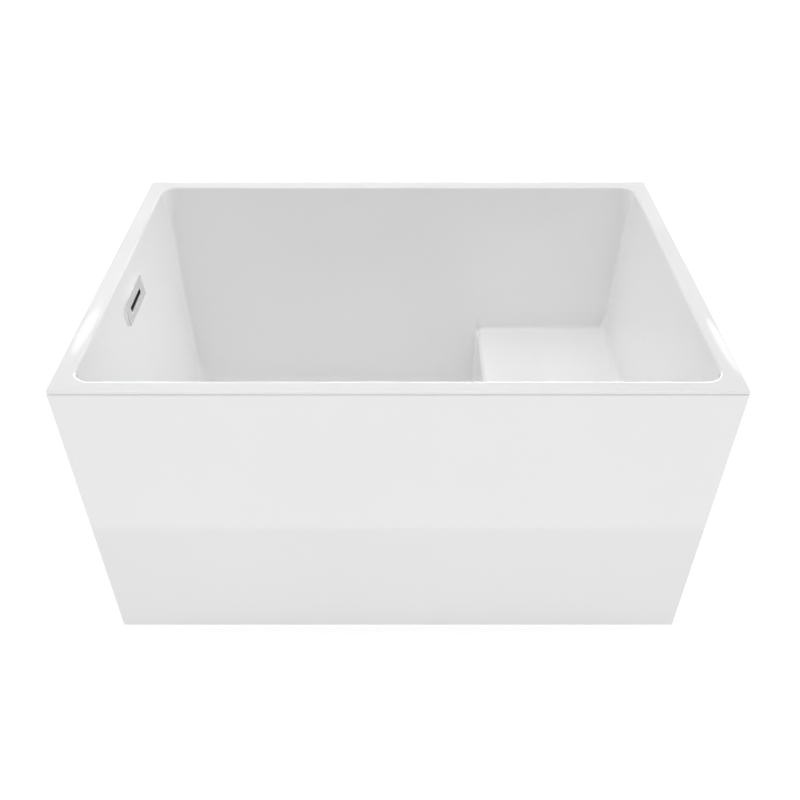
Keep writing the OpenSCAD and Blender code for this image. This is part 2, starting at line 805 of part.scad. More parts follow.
module overflow_duct() color("whitesmoke") at_overflow() difference() {
    plain_block(
        duct_mid - duct_depth / 2, duct_mid + duct_depth / 2, duct_width, -bend_drop, duct_top
    );
    plain_block(
        duct_mid - duct_depth / 2 + duct_wall, duct_mid + duct_depth / 2 - duct_wall,
        duct_width - 2 * duct_wall, -bend_drop - cut, duct_top + cut
    );
}

module duct_section(shrink) {
    square([duct_depth - 2 * shrink, duct_width - 2 * shrink], center = true);
}

// A quarter bend, less the wall's lean, from the upright duct to the level run
module duct_elbow() color("whitesmoke") at_overflow()
    translate([bend_at, 0, -bend_drop]) rotate([90, 0, 0]) rotate(180)
        rotate_extrude(angle = 90 - wall_lean) translate([duct_bend_r, 0]) difference() {
            duct_section(0);
            duct_section(duct_wall);
        }

module duct_run() color("whitesmoke") difference() {
    plain_block(run_start, run_end, duct_width, duct_z - duct_depth / 2, duct_z + duct_depth / 2);
    plain_block(
        run_start - cut, run_end + cut, duct_width - 2 * duct_wall,
        duct_z - duct_depth / 2 + duct_wall, duct_z + duct_depth / 2 - duct_wall
    );
}

basin();
skirt();
floor_board();
seat_board();
rail_front();
rail_back();
cross_bar_left();
cross_bar_mid();
cross_bar_right();
rail_caps();
seat_prop_front();
seat_prop_back();
foot_bushes();
lock_nuts();
board_screws();
foot_stud_front_left();
foot_stud_front_right();
foot_stud_back_left();
foot_stud_back_right();
foot_stud_mid();
foot_pad_front_left();
foot_pad_front_right();
foot_pad_back_left();
foot_pad_back_right();
foot_pad_mid();
waste_flange();
waste_gasket();
waste_body();
stopper_cap();
stopper_seal();
stopper_stem();
stopper_sleeve();
overflow_cover();
overflow_gasket();
overflow_body();
overflow_screws();
overflow_duct();
duct_elbow();
duct_run();
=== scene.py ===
"""Looks of a freestanding soaking tub with a seat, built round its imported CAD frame.

Sizes are in millimetres until a mesh is made; the scene is in metres, +Z up, with the
front at -Y. The tub's basin is one thin sheet: a list of stations runs along the edge
where its walls meet the floor, the riser and the seat, and each station carries a fillet.
"""

import json
import math

import bmesh
import bpy
import numpy as np
from mathutils import Matrix, Vector


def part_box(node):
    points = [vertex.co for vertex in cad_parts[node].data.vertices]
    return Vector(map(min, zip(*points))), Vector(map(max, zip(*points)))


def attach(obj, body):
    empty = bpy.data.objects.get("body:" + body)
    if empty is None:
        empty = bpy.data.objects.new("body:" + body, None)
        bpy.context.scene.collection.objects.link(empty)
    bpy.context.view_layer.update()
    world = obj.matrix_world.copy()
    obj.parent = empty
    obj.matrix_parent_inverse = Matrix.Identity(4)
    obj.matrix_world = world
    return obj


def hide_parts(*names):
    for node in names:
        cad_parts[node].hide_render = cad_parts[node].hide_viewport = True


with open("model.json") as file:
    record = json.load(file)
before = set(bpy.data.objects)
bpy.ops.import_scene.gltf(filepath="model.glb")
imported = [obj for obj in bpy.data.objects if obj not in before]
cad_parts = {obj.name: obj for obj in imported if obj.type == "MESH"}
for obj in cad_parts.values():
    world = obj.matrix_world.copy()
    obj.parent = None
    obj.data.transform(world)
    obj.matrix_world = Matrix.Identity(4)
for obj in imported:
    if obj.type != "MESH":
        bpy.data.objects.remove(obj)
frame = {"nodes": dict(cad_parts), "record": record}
scene = bpy.context.scene
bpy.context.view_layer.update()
NODES = frame["nodes"]
SLOT_OF = {part["node"]: part["material_slot"] for part in frame["record"]["subparts"]}
MM = 0.001

# Main sizes, from the frame
basin_low, basin_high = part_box("basin")
LENGTH = (basin_high.x - basin_low.x) / MM
WIDTH = (basin_high.y - basin_low.y) / MM
HEIGHT = basin_high.z / MM
skirt_low, skirt_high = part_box("skirt")
waste_low, waste_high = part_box("waste_flange")
WASTE_X = (waste_low.x + waste_high.x) / 2 / MM
FLOOR_Z = waste_high.z / MM

# Rim
RIM_WIDTH = 30
RIM_END_WIDTH = 35
RIM_THICK = 5
RIM_ROLL_R = 5
RIM_EDGE_R = 2.4
RIM_CORNER_R = 3
UNDER_EDGE_R = 0.5

# Basin
WALL = 5
LEAN_ANGLE = 1.4
LEAN = math.tan(math.radians(LEAN_ANGLE))
CORNER_R = 32
CORNER_WALL_R = 10
MOUTH_H = 14
CORNER_TOP_DROP = 95
CORNER_FOOT_RISE = 60
FLOOR_FILLET_R = 30

# Seat
SEAT_Z = 240
SEAT_LENGTH = 388
RISER_X = LENGTH / 2 - SEAT_LENGTH
SEAT_EDGE_R = 14
SEAT_COVE_R = 16
SEAT_CORNER_R = 18
RISER_FOOT_R = 25
RISER_FOOT_SIDE_R = 22
RISER_SIDE_R = 12
# Length of floor over which the side fillet draws in towards the riser
RISER_EASE = 110

# Band of wall that is set back above the seat
BAND_HEIGHT = 55
BAND_DEPTH = 7
BAND_LIP = 1.6
BAND_SLOPE = LEAN - (BAND_DEPTH - BAND_LIP) / BAND_HEIGHT
BAND_STEP = 1.3
BAND_FADE_ANGLE = 40
# Angles round the seat's front edge between which the step rises
STEP_FROM = 138
STEP_TO = 132
# Heights above the seat where the step bends outward and where it is straight
STEP_BEND_RISE = 12
STEP_BEND_OUT = 0.6
STEP_BEND_WIDTH = BAND_STEP * 1.4
STEP_STRAIGHT_RISE = 22

# Skirt
SKIRT_TAPER = 14
SKIRT_WALL = 4
SKIRT_LIFT = skirt_low.z / MM
SKIRT_CORNER_R = 2
SEAM_HEIGHT = 3
SEAM_DEPTH = 2.8
GLUE_FLANGE = 14
GLUE_FLANGE_T = 6
FOOT_FLANGE = 24
SKIRT_EDGE_R = 1.2
FLANGE_EDGE = 0.6
LEAST_CORNER_R = 0.4

# Overflow
cover_low, cover_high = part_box("overflow_cover")
OVERFLOW_Z = HEIGHT - 80
COVER_LENGTH = (cover_high.y - cover_low.y) / MM
COVER_HEIGHT = 48
COVER_THICK = 5.5
COVER_WEDGE = 4.2
COVER_GAP = 0.15
COVER_BEVEL = 1.4
COVER_CHAMFER = 1
SOFT = 0.25
COVER_CORNER_R = 0.6
SLOT_LENGTH = 78
SLOT_HEIGHT = 11
SLOT_CHAMFER = 1
# The neck's inside, its outside and the window in the wall, all beyond the slot's edge, and
# half the flat in the middle of their round ends
LINER_OUT = 1
NECK_OUT = 3
WINDOW_OUT = 6
END_FLAT = 0.1
NECK_REACH = WALL + 5.5

# Waste and stopper; a thread is its depth and pitch
WASTE_R = (waste_high.x - waste_low.x) / 2 / MM
WASTE_RECESS = 3
RECESS_Z = FLOOR_Z - WASTE_RECESS
WASTE_CLEAR = 0.5
BARREL_R = 24
BORE_R = 20.5
BARREL_THREAD = (1.2, 2.31)
BOSS_R = WASTE_R + 12
BOSS_H = 4
BOSS_Z = FLOOR_Z - WALL - BOSS_H
BOSS_EDGE = 1
PLUG_R = 30
PLUG_LIP = 0.7
FLANGE_PLATE = 1.3
HUB_R = 9
HUB_H = 8
HUB_Z = RECESS_Z - 14
SPOKES = 6
SPOKE_T = 3
SPOKE_SINK = 1
SLEEVE_R = 7.5
SLEEVE_COLLAR = 2
STEM_R = 5
STEM_TIP = 0.8
CLIP_RISE = 3
CLIP_WIDTH = 1
CLIP_DEPTH = 0.7
CAP_EDGE_R = 1.2
CAP_EDGE_TURN = 60
CAP_SKIRT_T = 9
CAP_HOLLOW = 0.6
SEAL_LIP = 1.6
SEAL_LIP_DROP = 0.5

# Frame and feet
TUBE = 25
TUBE_WALL = 2
TUBE_ROUND = 3
PLATE_T = 4
PLATE_CORNER_R = 5
BEAD_R = 1.8
BEAD_TIP = 0.15
BEAD_STEP = 1
BEAD_WAVE = 3
BEAD_RIPPLE = 0.1
BEAD_TURN = 36
# A direction that no bead runs along
OBLIQUE = (0.3, 0.5, 0.8)
FEET = ("front_left", "front_right", "back_left", "back_right", "mid")
STUD_R = 6
STUD_THREAD = (0.95, 1.75)
NUT_R = 10.5
NUT_TURNED_R = 0.94 * NUT_R
NUT_CHAMFER = 0.8
BORE_CHAMFER = 0.7
COLLAR_H = 4
BUSH_R = STUD_R + 2.5
# Pad: height of its side, height and reach of its slope, and shares of its radius at its grooves
PAD_SIDE = 2.5
PAD_SLOPE = 5.4
PAD_SLOPE_REACH = 3.5
PAD_TOP = 6
GROOVES = (0.38, 0.62)
GROOVE_WIDTH = 2.4
GROOVE_SIDE = 0.4
GROOVE_DEPTH = 0.8
SCREW_R = 2
SCREW_CLEAR = 0.5
HEAD_R = 5
HEAD_H = 3
SCREW_THREAD = (0.4, 1.4)
SOCKET_FLAT = 2.25
SOCKET_FLOOR = 1.05
# Shares of the screw head's radius and height along its rounded crown
HEAD_CROWN = ((0.8, 1), (0.96, 0.8), (1, 0.5))

# Fits, small rounded edges, and how far a cutting tool reaches past a face
THREAD_GAP = 0.05
LOOSE_GAP = 0.15
FINE_R = 0.4
EASED_EDGE = 0.5
PAST = 2

# Steps of the smooth stretches, and rings in each turn of a screw thread
ARC_STEPS = 12
FILLET_STEPS = 8
STEP_ROWS = 4
CORNER_ROWS = 8
EASE_STEPS = 5
EDGE_STEPS = 6
TURN_STEPS = 72
THREAD_ROWS = 4


def half_x(z):
    """Half the length between the inner end walls at a height."""
    return LENGTH / 2 - RIM_END_WIDTH - (HEIGHT - z) * LEAN


def half_y(z):
    """Half the width between the inner side walls at a height."""
    return WIDTH / 2 - RIM_WIDTH - (HEIGHT - z) * LEAN


def unit(v):
    """A direction of length one."""
    v = np.array(v, float)
    return v / np.linalg.norm(v)


def turn(degrees):
    """Cosine and sine of an angle in degrees."""
    return math.cos(math.radians(degrees)), math.sin(math.radians(degrees))


def smooth(t):
    """Eases from 0 to 1."""
    t = min(max(t, 0), 1)
    return t * t * (3 - 2 * t)


def spread(a, b, steps):
    """Evenly spaced values from a to b, both included."""
    return [a + (b - a) * i / steps for i in range(steps + 1)]


# Angles round the back corners of the well, from the left wall to the right one
LEFT_ANGLES = spread(180, 90, ARC_STEPS)
RIGHT_ANGLES = spread(90, 0, ARC_STEPS)


def rounded(radius, steps):
    """Points of a rounded edge, as their distances from the two faces that it joins."""
    return [(radius * (1 - c), radius * (1 - s)) for c, s in map(turn, spread(0, 90, steps))]


def add_object(name, data):
    """Adds an object to the scene."""
    made = bpy.data.objects.new(name, data)
    scene.collection.objects.link(made)
    return made


def box_mm(node):
    """Lowest and highest corners of a CAD node in millimetres."""
    low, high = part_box(node)
    return np.array(low) / MM, np.array(high) / MM


def span_z(node):
    """Lowest and highest level of a CAD node in millimetres."""
    low, high = box_mm(node)
    return low[2], high[2]


def middle(node):
    """Middle of a CAD node's box in millimetres."""
    return sum(box_mm(node)) / 2


class Mesher:
    """Collects points and faces in millimetres and makes an object of them."""

    def __init__(self):
        self.points = []
        self.faces = []
        self.marks = []
        self.mark = 0

    def row(self, points):
        """Adds points and returns their numbers."""
        first = len(self.points)
        self.points.extend([float(c) for c in p] for p in points)
        return list(range(first, len(self.points)))

    def face(self, loop):
        """Adds one face of the material that is marked."""
        self.faces.append(list(loop))
        self.marks.append(self.mark)

    def bridge(self, a, b, closed=False):
        """Quads between two rows of the same length."""
        n = len(a)
        for i in range(n if closed else n - 1):
            j = (i + 1) % n
            self.face([a[i], a[j], b[j], b[i]])

    def rings(self, rows, closed=True, looped=False):
        """Quads between each ring and the next; looped joins the last to the first."""
        for a, b in zip(rows, rows[1:] + (rows[:1] if looped else [])):
            self.bridge(a, b, closed)

    def solid(self, rows):
        """Rings with a face over each end."""
        self.rings(rows)
        self.face(rows[0])
        self.face(rows[-1])

    def make(self, name, materials):
        """Makes an object in metres, with near points joined."""
        mesh = bpy.data.meshes.new(name)
        mesh.from_pydata([[c * MM for c in p] for p in self.points], [], self.faces)
        for material in materials:
            mesh.materials.append(material)
        mesh.polygons.foreach_set("material_index", self.marks)
        bm = bmesh.new()
        bm.from_mesh(mesh)
        bmesh.ops.remove_doubles(bm, verts=bm.verts, dist=1e-6)
        bmesh.ops.recalc_face_normals(bm, faces=bm.faces)
        bm.to_mesh(mesh)
        bm.free()
        return add_object(name, mesh)


def smooth_shade(piece, angle):
    """Smooth shading with sharp edges kept, and flats that stay flat."""
    mesh = piece.data
    mesh.polygons.foreach_set("use_smooth", [True] * len(mesh.polygons))
    mesh.set_sharp_from_angle(angle=math.radians(angle))
    weighted = piece.modifiers.new("flats stay flat", "WEIGHTED_NORMAL")
    weighted.mode = "FACE_AREA"
    weighted.weight = 50
    weighted.keep_sharp = True


def boolean(piece, tool, operation="DIFFERENCE"):
    """Applies one boolean to the mesh of piece, and removes the tool."""
    step = piece.modifiers.new("boolean", "BOOLEAN")
    step.operation = operation
    step.solver = "EXACT"
    step.object = tool
    bpy.context.view_layer.update()
    graph = bpy.context.evaluated_depsgraph_get()
    mesh = bpy.data.meshes.new_from_object(piece.evaluated_get(graph))
    piece.modifiers.clear()
    piece.data = mesh
    bpy.data.objects.remove(tool)


def upright(x, y, z=0):
    """Puts a turned piece on an upright axis."""
    return lambda a, b, up: (x + a, y + b, z + up)


WASTE_AXIS = upright(WASTE_X, 0)


def add_turned(mesher, place, outline, looped=False, steps=TURN_STEPS):
    """Adds a turned solid. The outline is (radius, place along the axis) pairs, from axis to
    axis or looped; a radius is a number or a function of the share of a turn."""
    rows = []
    for radius, along in outline:
        points = []
        for i in range(steps):
            r = radius(i / steps) if callable(radius) else radius
            c, s = turn(360 * i / steps)
            points.append(place(r * c, r * s, along))
        rows.append(mesher.row(points))
    mesher.rings(rows, looped=looped)


def turned_piece(name, material, place, outline, looped=False):
    """Makes one turned solid as an object."""
    mesher = Mesher()
    add_turned(mesher, place, outline, looped)
    return mesher.make(name, [material])


def drill(radius, low, high):
    """Outline of a hole through both faces."""
    return [(0, low - PAST), (radius, low - PAST), (radius, high + PAST), (0, high + PAST)]


def hexagon(flat, limit):
    """Radius of a hexagon round a turn, its corners turned down to a limit."""
    return lambda share: min(flat / math.cos(math.radians(share * 360 % 60 - 30)), limit)


def thread_rings(radius, depth, pitch, low, high):
    """(radius, place) pairs of a screw thread that runs out at both ends."""

    def cut_to(deep, phase):
        return lambda share: radius - deep * (1 - abs(2 * ((phase - share) % 1) - 1))

    pairs = []
    for z in spread(low, high, round((high - low) / pitch * THREAD_ROWS)):
        fade = smooth((z - low) / pitch) * smooth((high - z) / pitch)
        pairs.append((cut_to(depth * fade, z / pitch), z))
    return pairs


def filleted(corners, steps=3):
    """A closed outline with rounded corners; corners are (a, b, radius)."""
    points = []
    for i, (a, b, radius) in enumerate(corners):
        if not radius:
            points.append((a, b))
            continue
        here = np.array([a, b], float)
        back = unit(corners[i - 1][:2] - here)
        ahead = unit(corners[(i + 1) % len(corners)][:2] - here)
        half = math.acos(np.clip(back @ ahead, -1, 1)) / 2
        centre = here + unit(back + ahead) * radius / math.sin(half)
        start = here + back * radius / math.tan(half) - centre
        end = here + ahead * radius / math.tan(half) - centre
        for t in spread(0, 1, steps):
            points.append(tuple(centre + unit(start * (1 - t) + end * t) * radius))
    return points


def add_prism(mesher, outline, place, low, high, edge):
    """Adds a solid of one outline, (a, b) pairs round the axis, with its end edges eased."""
    far = max(max(abs(a), abs(b)) for a, b in outline)
    share = 1 - edge / far
    mesher.solid([
        mesher.row([place(a * scale, b * scale, along) for a, b in outline])
        for along, scale in ((low, share), (low + edge, 1), (high - edge, 1), (high, share))
    ])


def washer(inner, outer, low, high, inner_edge, outer_edge):
    """Outline of a plain ring with rounded edges."""
    return filleted([
        (inner, low, inner_edge), (outer, low, outer_edge),
        (outer, high, outer_edge), (inner, high, inner_edge),
    ])


def box_ring(half_a, half_b, radius, steps=4):
    """Outline of a rectangle with round corners, counter-clockwise."""
    points = []
    for i, (sa, sb) in enumerate(((1, 1), (-1, 1), (-1, -1), (1, -1))):
        for angle in spread(90 * i, 90 * i + 90, steps):
            c, s = turn(angle)
            points.append((sa * (half_a - radius) + radius * c, sb * (half_b - radius) + radius * s))
    return points


# Materials


def put(node, **values):
    """Sets inputs of a shader node; an underscore stands for a space in their names."""
    for name, value in values.items():
        node.inputs[name.replace("_", " ")].default_value = value


def node_material(name, color, roughness, metallic=0.0, ior=1.5):
    """A Principled material, its node tree, and the shader node."""
    material = bpy.data.materials.new(name)
    material.use_nodes = True
    tree = material.node_tree
    shader = tree.nodes["Principled BSDF"]
    put(shader, Base_Color=(*color, 1), Roughness=roughness, Metallic=metallic, IOR=ior)
    return material, tree, shader


def noise(tree, scale, detail=3.0, roughness=0.5, stretch=(1, 1, 1)):
    """Noise in object space, stretched along the axes."""
    place = tree.nodes.new("ShaderNodeTexCoord")
    mapping = tree.nodes.new("ShaderNodeMapping")
    put(mapping, Scale=stretch)
    texture = tree.nodes.new("ShaderNodeTexNoise")
    put(texture, Scale=scale, Detail=detail, Roughness=roughness)
    tree.links.new(place.outputs["Object"], mapping.inputs["Vector"])
    tree.links.new(mapping.outputs["Vector"], texture.inputs["Vector"])
    return texture.outputs["Fac"]


def ramp(tree, source, stops):
    """A colour ramp over source; stops are (place, colour) pairs."""
    node = tree.nodes.new("ShaderNodeValToRGB")
    elements = node.color_ramp.elements
    while len(elements) < len(stops):
        elements.new(0.5)
    for element, (place, color) in zip(elements, stops):
        element.position = place
        element.color = (*color, 1)
    tree.links.new(source, node.inputs["Fac"])
    return node.outputs["Color"]


def to_range(tree, source, low, high):
    """Maps a 0 to 1 value to a range."""
    node = tree.nodes.new("ShaderNodeMapRange")
    put(node, To_Min=low, To_Max=high)
    tree.links.new(source, node.inputs["Value"])
    return node.outputs["Result"]


def bump(tree, shader, height, strength, distance):
    """Lets a height pattern tilt the shading of the surface."""
    node = tree.nodes.new("ShaderNodeBump")
    put(node, Strength=strength, Distance=distance)
    tree.links.new(height, node.inputs["Height"])
    tree.links.new(node.outputs["Normal"], shader.inputs["Normal"])


def follow(tree, shader, pattern, stops, roughness, strength, depth):
    """Lets one pattern drive the colour, the roughness and the relief."""
    tree.links.new(ramp(tree, pattern, stops), shader.inputs["Base Color"])
    tree.links.new(to_range(tree, pattern, *roughness), shader.inputs["Roughness"])
    bump(tree, shader, pattern, strength, depth)


def plain_variation(name, color, spread_by, roughness, scale, metallic=0.0, grain=0.0):
    """A material whose colour and roughness drift slightly over the surface."""
    material, tree, shader = node_material(name, color, roughness, metallic)
    drift = noise(tree, scale)
    darker = tuple(c * (1 - spread_by) for c in color)
    tree.links.new(ramp(tree, drift, [(0.3, darker), (0.7, color)]), shader.inputs["Base Color"])
    fine = noise(tree, scale * 9)
    shine = to_range(tree, fine, roughness * 0.8, roughness * 1.25)
    tree.links.new(shine, shader.inputs["Roughness"])
    if grain:
        bump(tree, shader, fine, grain, 0.0003)
    return material


ACRYLIC_WHITE = (0.968, 0.968, 0.968)


def make_acrylic():
    """White gloss sheet: a clean shine with a trace of moulding ripple."""
    material, tree, shader = node_material("white acrylic", ACRYLIC_WHITE, 0.035, ior=1.49)
    paler = tuple(min(c * 1.012, 1) for c in ACRYLIC_WHITE)
    shades = ramp(tree, noise(tree, 2.2, detail=2), [(0.35, ACRYLIC_WHITE), (0.65, paler)])
    tree.links.new(shades, shader.inputs["Base Color"])
    tree.links.new(to_range(tree, noise(tree, 14), 0.015, 0.035), shader.inputs["Roughness"])
    bump(tree, shader, noise(tree, 9, detail=1), 0.02, 0.0004)
    return material


def make_fibreglass():
    """Chopped strands in resin: pale fibres that lie two ways, with a rough feel."""
    material, tree, shader = node_material("fibreglass backing", (0.7, 0.68, 0.58), 0.5)
    strands = tree.nodes.new("ShaderNodeMath")
    strands.operation = "MAXIMUM"
    tree.links.new(noise(tree, 120, stretch=(1, 9, 1)), strands.inputs[0])
    tree.links.new(noise(tree, 120, stretch=(9, 1, 1)), strands.inputs[1])
    shades = [(0.45, (0.5, 0.47, 0.36)), (0.6, (0.72, 0.7, 0.62)), (0.72, (0.84, 0.83, 0.78))]
    follow(tree, shader, strands.outputs["Value"], shades, (0.35, 0.65), 0.5, 0.0006)
    return material


def make_board():
    """Birch ply: long grain on its faces and thin plies on its edges."""
    material, tree, shader = node_material("stiffening board", (0.6, 0.45, 0.27), 0.7)
    grain = noise(tree, 9, detail=6, roughness=0.65, stretch=(1, 14, 90))
    shades = [(0.3, (0.46, 0.31, 0.17)), (0.5, (0.62, 0.46, 0.28)), (0.7, (0.7, 0.55, 0.36))]
    follow(tree, shader, grain, shades, (0.6, 0.8), 0.3, 0.0004)
    return material


acrylic = make_acrylic()
fibreglass = make_fibreglass()
board = make_board()
paint = plain_variation("grey frame paint", (0.1, 0.105, 0.11), 0.1, 0.38, 60, grain=0.15)
zinc = plain_variation("zinc plating", (0.62, 0.63, 0.64), 0.12, 0.32, 120, metallic=1.0)
chrome = plain_variation("chrome", (0.88, 0.88, 0.88), 0.03, 0.12, 50, metallic=1.0)
satin = plain_variation("satin chrome", (0.9, 0.9, 0.9), 0.03, 0.26, 50, metallic=1.0)
rubber = plain_variation("rubber", (0.02, 0.02, 0.021), 0.2, 0.7, 90, grain=0.2)
pipe_plastic = plain_variation("pipe plastic", (0.75, 0.75, 0.72), 0.06, 0.42, 50, grain=0.1)
brass = plain_variation("turned brass", (0.62, 0.45, 0.16), 0.1, 0.25, 120, metallic=1.0)
pad_plastic = plain_variation("black plastic", (0.025, 0.025, 0.027), 0.2, 0.5, 90, grain=0.25)
SLOTS = {
    "acrylic": acrylic, "board": board, "frame_paint": paint, "zinc": zinc, "chrome": chrome,
    "rubber": rubber, "pipe": pipe_plastic, "brass": brass, "pad": pad_plastic,
}


dressed = set()


def dress(piece, node, body="root", angle=35):
    """Puts a smooth-shaded piece in place of a CAD node, on that node's body."""
    dressed.add(node)
    smooth_shade(piece, angle)
    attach(piece, body)
    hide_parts(node)


# Basin


def set_back(z):
    """How far the band of wall above the seat stands back at a height."""
    return BAND_DEPTH + (BAND_LIP - BAND_DEPTH) * (z - SEAT_Z) / BAND_HEIGHT


def corner_radius(z, sx):
    """Radius of an upright corner: full in the rim, drawn in below it, wider at its foot."""
    drawn = smooth((HEIGHT - MOUTH_H - z) / (CORNER_TOP_DROP - MOUTH_H))
    r = CORNER_R + (CORNER_WALL_R - CORNER_R) * drawn
    if sx < 0:
        foot, low, rise = CORNER_R, FLOOR_Z + FLOOR_FILLET_R, CORNER_FOOT_RISE
    else:
        foot, low, rise = SEAT_CORNER_R, SEAT_Z + SEAT_COVE_R, BAND_HEIGHT - SEAT_COVE_R
    return foot + (r - foot) * smooth((z - low) / rise)


def corner_point(sx, z, angle):
    """A point in an upright corner, and the outward direction there."""
    c, s = turn(angle)
    r = corner_radius(z, sx)
    point = np.array([sx * (half_x(z) - r) + r * c, half_y(z) - r + r * s, z])
    return point, np.array([c, s, 0.0])


def seat_corner_point(z, angle, depth):
    """A point in the right corner above the seat, with the band fading out round it."""
    point, out = corner_point(1, z, angle)
    fade = smooth((angle - BAND_FADE_ANGLE) / (90 - BAND_FADE_ANGLE))
    return point + out * depth * fade


def chain():
    """Stations (point, up the wall, over the bottom, fillet radius) of the back half,
    from the left wall to the right one, and the numbers of the ones that others need."""
    found = []
    marks = {}
    over = np.array([0.0, -1.0, 0.0])

    def wall_station(x, z, nx, nz, radius, depth=0.0, slope=LEAN):
        found.append((
            np.array([x, half_y(z) + depth, z]), unit((nx, nz * slope, nz)), over, radius
        ))

    for angle in LEFT_ANGLES:
        point, out = corner_point(-1, FLOOR_Z, angle)
        found.append((point, unit((-LEAN, LEAN, 1)), -out, FLOOR_FILLET_R))
    marks["left"] = len(found) - 1
    foot_x = RISER_X - RISER_FOOT_R
    for t in spread(0, 1, EASE_STEPS):
        wall_station(
            foot_x - RISER_EASE * (1 - t), FLOOR_Z, 0, 1,
            FLOOR_FILLET_R + (RISER_FOOT_SIDE_R - FLOOR_FILLET_R) * smooth(t),
        )
    marks["foot"] = len(found) - 1
    for angle in spread(-90, 0, ARC_STEPS)[1:]:
        c, s = turn(angle)
        wall_station(
            foot_x + RISER_FOOT_R * c, FLOOR_Z + RISER_FOOT_R + RISER_FOOT_R * s, -c, -s,
            RISER_FOOT_SIDE_R + (RISER_SIDE_R - RISER_FOOT_SIDE_R) * smooth((angle + 90) / 90),
        )

    def edge_station(angle, depth_share):
        c, s = turn(angle)
        z = SEAT_Z - SEAT_EDGE_R * (1 - s)
        radius = RISER_SIDE_R + (SEAT_COVE_R - RISER_SIDE_R) * smooth((180 - angle) / 90)
        slope = LEAN + (BAND_SLOPE - LEAN) * depth_share
        wall_station(
            RISER_X + SEAT_EDGE_R * (1 + c), z, c, s, radius, set_back(z) * depth_share, slope
        )

    for angle in spread(180, STEP_FROM, EDGE_STEPS):
        edge_station(angle, 0)
    marks["step_out"] = len(found) - 1
    for t in spread(0, 1, STEP_ROWS)[1:]:
        edge_station(STEP_FROM + (STEP_TO - STEP_FROM) * t, smooth(t))
    marks["step_in"] = len(found) - 1
    for angle in spread(STEP_TO, 90, EDGE_STEPS)[1:]:
        edge_station(angle, 1)
    marks["seat"] = len(found) - 1
    for angle in RIGHT_ANGLES:
        point = seat_corner_point(SEAT_Z, angle, set_back(SEAT_Z))
        out = corner_point(1, SEAT_Z, angle)[1]
        lean = BAND_SLOPE if angle == 90 else LEAN
        found.append((point, unit((LEAN * (angle < 90), lean, 1)), -out, SEAT_COVE_R))
    marks["right"] = marks["seat"] + 1
    return found, marks


def band_path():
    """Middle line of the step round the band, as (x, z, towards the band x, z, width)."""
    top = SEAT_Z + BAND_HEIGHT
    r = SEAT_EDGE_R
    path = [
        (RISER_X - STEP_BEND_OUT, SEAT_Z + STEP_BEND_RISE, 1, 0, STEP_BEND_WIDTH),
        (RISER_X, SEAT_Z + STEP_STRAIGHT_RISE, 1, 0, BAND_STEP),
    ]
    for angle in spread(180, 90, FILLET_STEPS):
        c, s = turn(angle)
        path.append((RISER_X + r + r * c, top - r + r * s, -c, -s, BAND_STEP))
    return path


def shell(mesher, rim_row, grow, flip_y):
    """One face of the sheet on one side of the tub, grown outward by grow. rim_row gives
    the numbers of the column tops, left corner first. Returns the rows that the other
    side has to meet."""
    stations, marks = chain()
    first = len(mesher.points)
    fillets = []
    for point, up, over, radius in stations:
        corner = point - grow * (up + over)
        fillets.append(mesher.row([
            corner + b * up + a * over for a, b in rounded(radius + grow, FILLET_STEPS)
        ]))
    mesher.rings(fillets, closed=False)
    tips = [row[0] for row in fillets]
    left, outer, inner, right = (marks[k] for k in ("left", "step_out", "step_in", "right"))

    def corner_row(sx, z, angles):
        points = []
        for angle in angles:
            point, away = corner_point(sx, z, angle)
            points.append(point + away * grow)
        return mesher.row(points)

    drop = [HEIGHT - z for z in spread(MOUTH_H, CORNER_TOP_DROP, CORNER_ROWS)]
    rise = [FLOOR_Z + FLOOR_FILLET_R + z for z in spread(CORNER_FOOT_RISE, 0, CORNER_ROWS)[:-1]]
    left_rows = [rim_row[:ARC_STEPS + 1]]
    left_rows += [corner_row(-1, z, LEFT_ANGLES) for z in drop + rise]
    left_rows += [tips[:left + 1]]
    mesher.rings(left_rows, closed=False)
    right_rows = [rim_row[ARC_STEPS + 1:]]
    right_rows += [corner_row(1, z, RIGHT_ANGLES) for z in drop]

    wall_out = np.array([0.0, 1.0, -LEAN]) * grow
    top = SEAT_Z + BAND_HEIGHT
    band_rows = []
    for t in spread(0, 1, STEP_ROWS):
        z = top + BAND_STEP * (0.5 - t)
        points = []
        for angle in RIGHT_ANGLES:
            push = corner_point(1, z, angle)[1] * grow
            points.append(seat_corner_point(z, angle, set_back(z) * smooth(t)) + push)
        band_rows.append(mesher.row(points))
    right_rows += band_rows + [tips[right:]]
    mesher.rings(right_rows, closed=False)
    steps = [tips[outer:inner + 1]]
    for x, z, nx, nz, width in band_path():
        points = []
        for t in spread(0, 1, STEP_ROWS):
            shift = width * (t - 0.5)
            px, pz = x + nx * shift, z + nz * shift
            depth = set_back(pz) * smooth(t)
            points.append(np.array([px, half_y(pz) + depth, pz]) + wall_out)
        steps.append(mesher.row(points))
    steps.append([row[0] for row in band_rows])
    mesher.rings(steps, closed=False)
    mesher.face(
        [row[-1] for row in left_rows] + tips[left + 1:outer] + [row[0] for row in steps]
        + [row[0] for row in reversed(right_rows[:-len(band_rows) - 1])]
    )
    mesher.face([row[-1] for row in steps] + tips[right:inner:-1])
    for point in mesher.points[first:]:
        point[1] *= flip_y
    return fillets, [row[0] for row in left_rows], [row[-1] for row in right_rows], marks


def rim_ring(mesher, point_at):
    """A ring of the rim, back side first: left corner, right corner, then the front."""
    points = []
    for flip in (1, -1):
        for sx, angles in ((-1, LEFT_ANGLES), (1, RIGHT_ANGLES)):
            for angle in angles:
                x, y, z = point_at(sx, angle)
                points.append((x, y * flip, z))
    return mesher.row(points)


